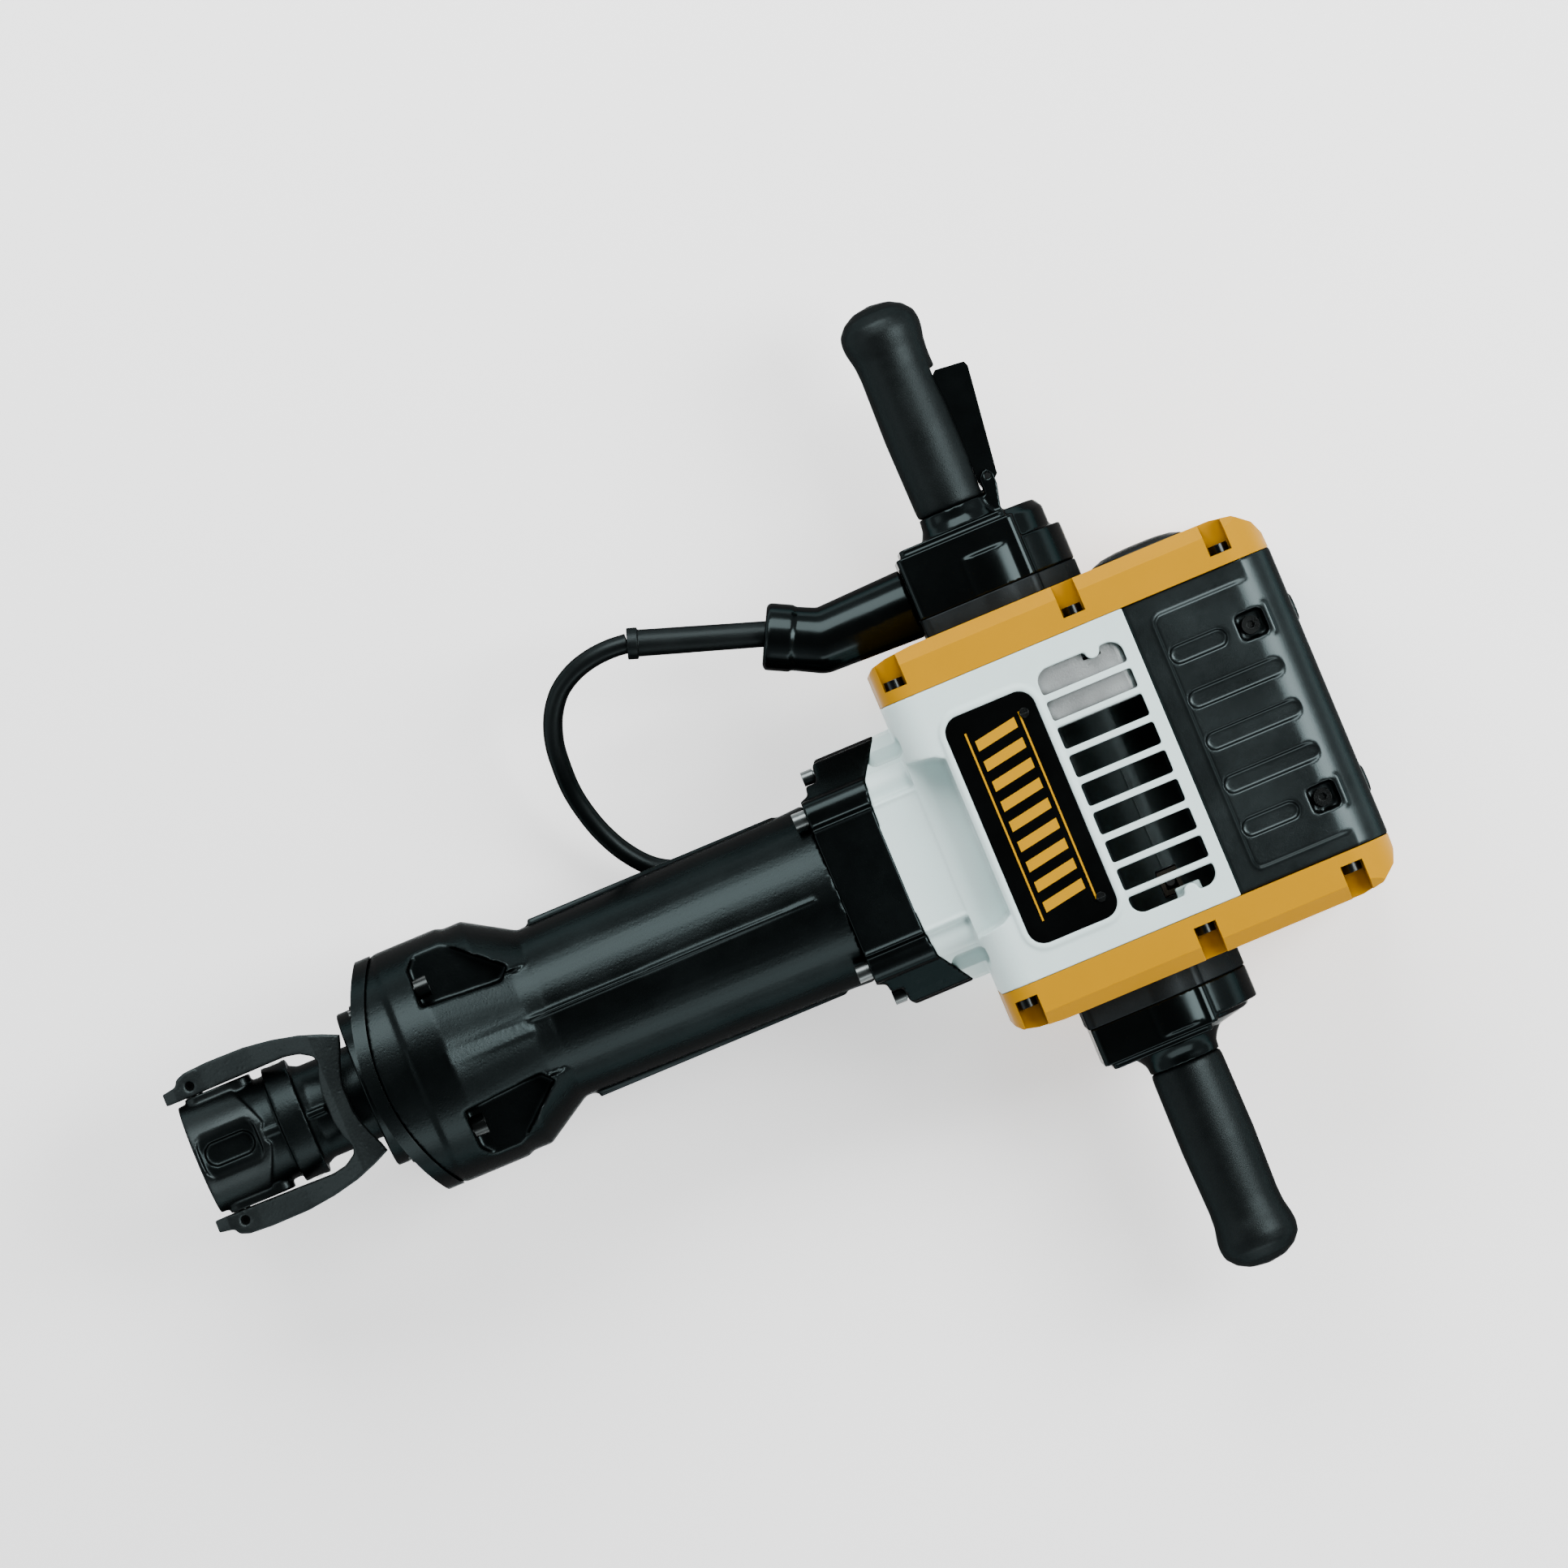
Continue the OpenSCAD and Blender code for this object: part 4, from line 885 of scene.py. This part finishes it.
class HAMMER_OT_nose(bpy.types.Operator):
    """Dress the bit socket and its retainer"""

    bl_idname = "hammer.nose"
    bl_label = "Nose and retainer"

    def execute(self, context):
        sizes = context.scene.hammer_sizes
        steps = sizes.edge_steps
        cast("nose_barrel", "nose", grid=0.0010)
        dress("hex_bushing", "steel", FINE_EDGE, steps)
        dress("nose_flange", "casting", sizes.edge, steps)
        cast("retainer_bail", "forging", grid=0.0010, passes=7)
        dress("bail_pivot_pins", "dark_screw", FINE_EDGE, steps)
        dress("bail_roll_pins", "dark_screw")
        dress("bail_detents", "steel")
        return {"FINISHED"}


class HAMMER_OT_barrel(bpy.types.Operator):
    """Dress the barrel and the gear case"""

    bl_idname = "hammer.barrel"
    bl_label = "Barrel and gear case"

    def execute(self, context):
        sizes = context.scene.hammer_sizes
        steps = sizes.edge_steps
        dress("front_cap", "casting", sizes.edge, steps)
        cast("barrel_housing", "casting", grid=0.0014, passes=4, keep=1.0)
        cast("gear_case", "case", grid=0.0011, passes=4)
        dress("front_cap_bolts", "dark_screw", BOLT_EDGE, steps)
        dress("gear_case_bolts", "zinc", BOLT_EDGE, steps)
        return {"FINISHED"}


class HAMMER_OT_motor_block(bpy.types.Operator):
    """Dress the motor housing and its covers"""

    bl_idname = "hammer.motor_block"
    bl_label = "Motor housing and covers"

    def execute(self, context):
        sizes = context.scene.hammer_sizes
        steps = sizes.edge_steps
        cast("motor_housing", "housing", grid=0.0010, passes=2, keep=0.5)
        cast("rear_cover", "plastic", grid=0.0011)
        dress("side_cover_left", "cover", sizes.edge, steps)
        dress("side_cover_right", "cover", sizes.edge, steps)
        dress("grease_cap", "plastic", DOME_EDGE, steps)
        dress("nameplate", "plate", FINE_EDGE, steps)
        for screws in ("rear_cover_screws", "side_cover_screws"):
            dress(screws, "dark_screw", FINE_EDGE, steps)
        dress("nameplate_screws", "dark_screw", SCREW_EDGE, steps)
        make_stripes()
        return {"FINISHED"}


class HAMMER_OT_handles(bpy.types.Operator):
    """Dress the handles, their bases and the switch"""

    bl_idname = "hammer.handles"
    bl_label = "Handles"

    def execute(self, context):
        sizes = context.scene.hammer_sizes
        steps = sizes.edge_steps
        dress("isolator_pads", "pad", SOFT_EDGE, steps)
        cast("switch_housing", "gloss", grid=0.0010, passes=4, keep=1.0)
        cast("handle_block", "gloss", grid=0.0010, passes=4, keep=1.0)
        cast("grip_left", "rubber", grid=0.0012, passes=12)
        cast("grip_right", "rubber", grid=0.0012, passes=12)
        dress("handle_cores", "steel")
        dress("switch_paddle", "gloss", SOFT_EDGE, steps)
        dress("paddle_pin", "dark_screw")
        dress("power_switch", "plastic")
        return {"FINISHED"}


class HAMMER_OT_mechanism(bpy.types.Operator):
    """Dress the motor, the gears and the hammer mechanism"""

    bl_idname = "hammer.mechanism"
    bl_label = "Mechanism"

    PARTS = {
        "steel": (
            "anvil_sleeve", "anvil", "cylinder_liner", "ram", "piston", "wrist_pin",
            "connecting_rod", "big_end_bearing", "crankshaft", "crank_gear", "lay_shaft",
            "ball_bearings", "rotor", "motor_pinion",
        ),
        "rubber": ("damper_ring", "ram_seal", "piston_seal"),
        "aluminium": ("bearing_carrier", "gear_box"),
        "plastic": ("cooling_fan",),
        "copper": ("stator",),
        "can": ("motor_can",),
        "dull_brass": ("brush_holders",),
        "carbon": ("carbon_brushes",),
    }

    def execute(self, context):
        for name, parts in self.PARTS.items():
            for part in parts:
                dress(part, name)
        return {"FINISHED"}


class HAMMER_OT_studio(bpy.types.Operator):
    """Set the floor and the lights"""

    bl_idname = "hammer.studio"
    bl_label = "Studio"

    def execute(self, context):
        make_floor()
        make_world()
        for name, location, size, energy in LIGHTS:
            area_light(name, location, size, energy)
        return {"FINISHED"}


class HAMMER_PT_panel(bpy.types.Panel):
    """Steps and values of the hammer"""

    bl_label = "Demolition hammer"
    bl_space_type = "VIEW_3D"
    bl_region_type = "UI"
    bl_category = "Hammer"

    def draw(self, context):
        column = self.layout.column()
        for step in STEPS:
            column.operator(step.bl_idname)
        for group in (context.scene.hammer_sizes, context.scene.hammer_colours):
            for name in type(group).__annotations__:
                column.prop(group, name)


STEPS = (
    HAMMER_OT_camera,
    HAMMER_OT_finishes,
    HAMMER_OT_cord,
    HAMMER_OT_nose,
    HAMMER_OT_barrel,
    HAMMER_OT_motor_block,
    HAMMER_OT_handles,
    HAMMER_OT_mechanism,
    HAMMER_OT_studio,
)
CLASSES = (HammerColours, HammerSizes, *STEPS, HAMMER_PT_panel)


def register():
    for cls in CLASSES:
        bpy.utils.register_class(cls)
    bpy.types.Scene.hammer_colours = PointerProperty(type=HammerColours)
    bpy.types.Scene.hammer_sizes = PointerProperty(type=HammerSizes)


def unregister():
    del bpy.types.Scene.hammer_sizes
    del bpy.types.Scene.hammer_colours
    for cls in reversed(CLASSES):
        bpy.utils.unregister_class(cls)


def main():
    """Runs every step in order."""
    register()
    for step in STEPS:
        module, name = step.bl_idname.split(".")
        result = getattr(getattr(bpy.ops, module), name)()
        if result != {"FINISHED"}:
            raise RuntimeError(step.bl_label + " did not finish")


if __name__ == "__main__":
    main()
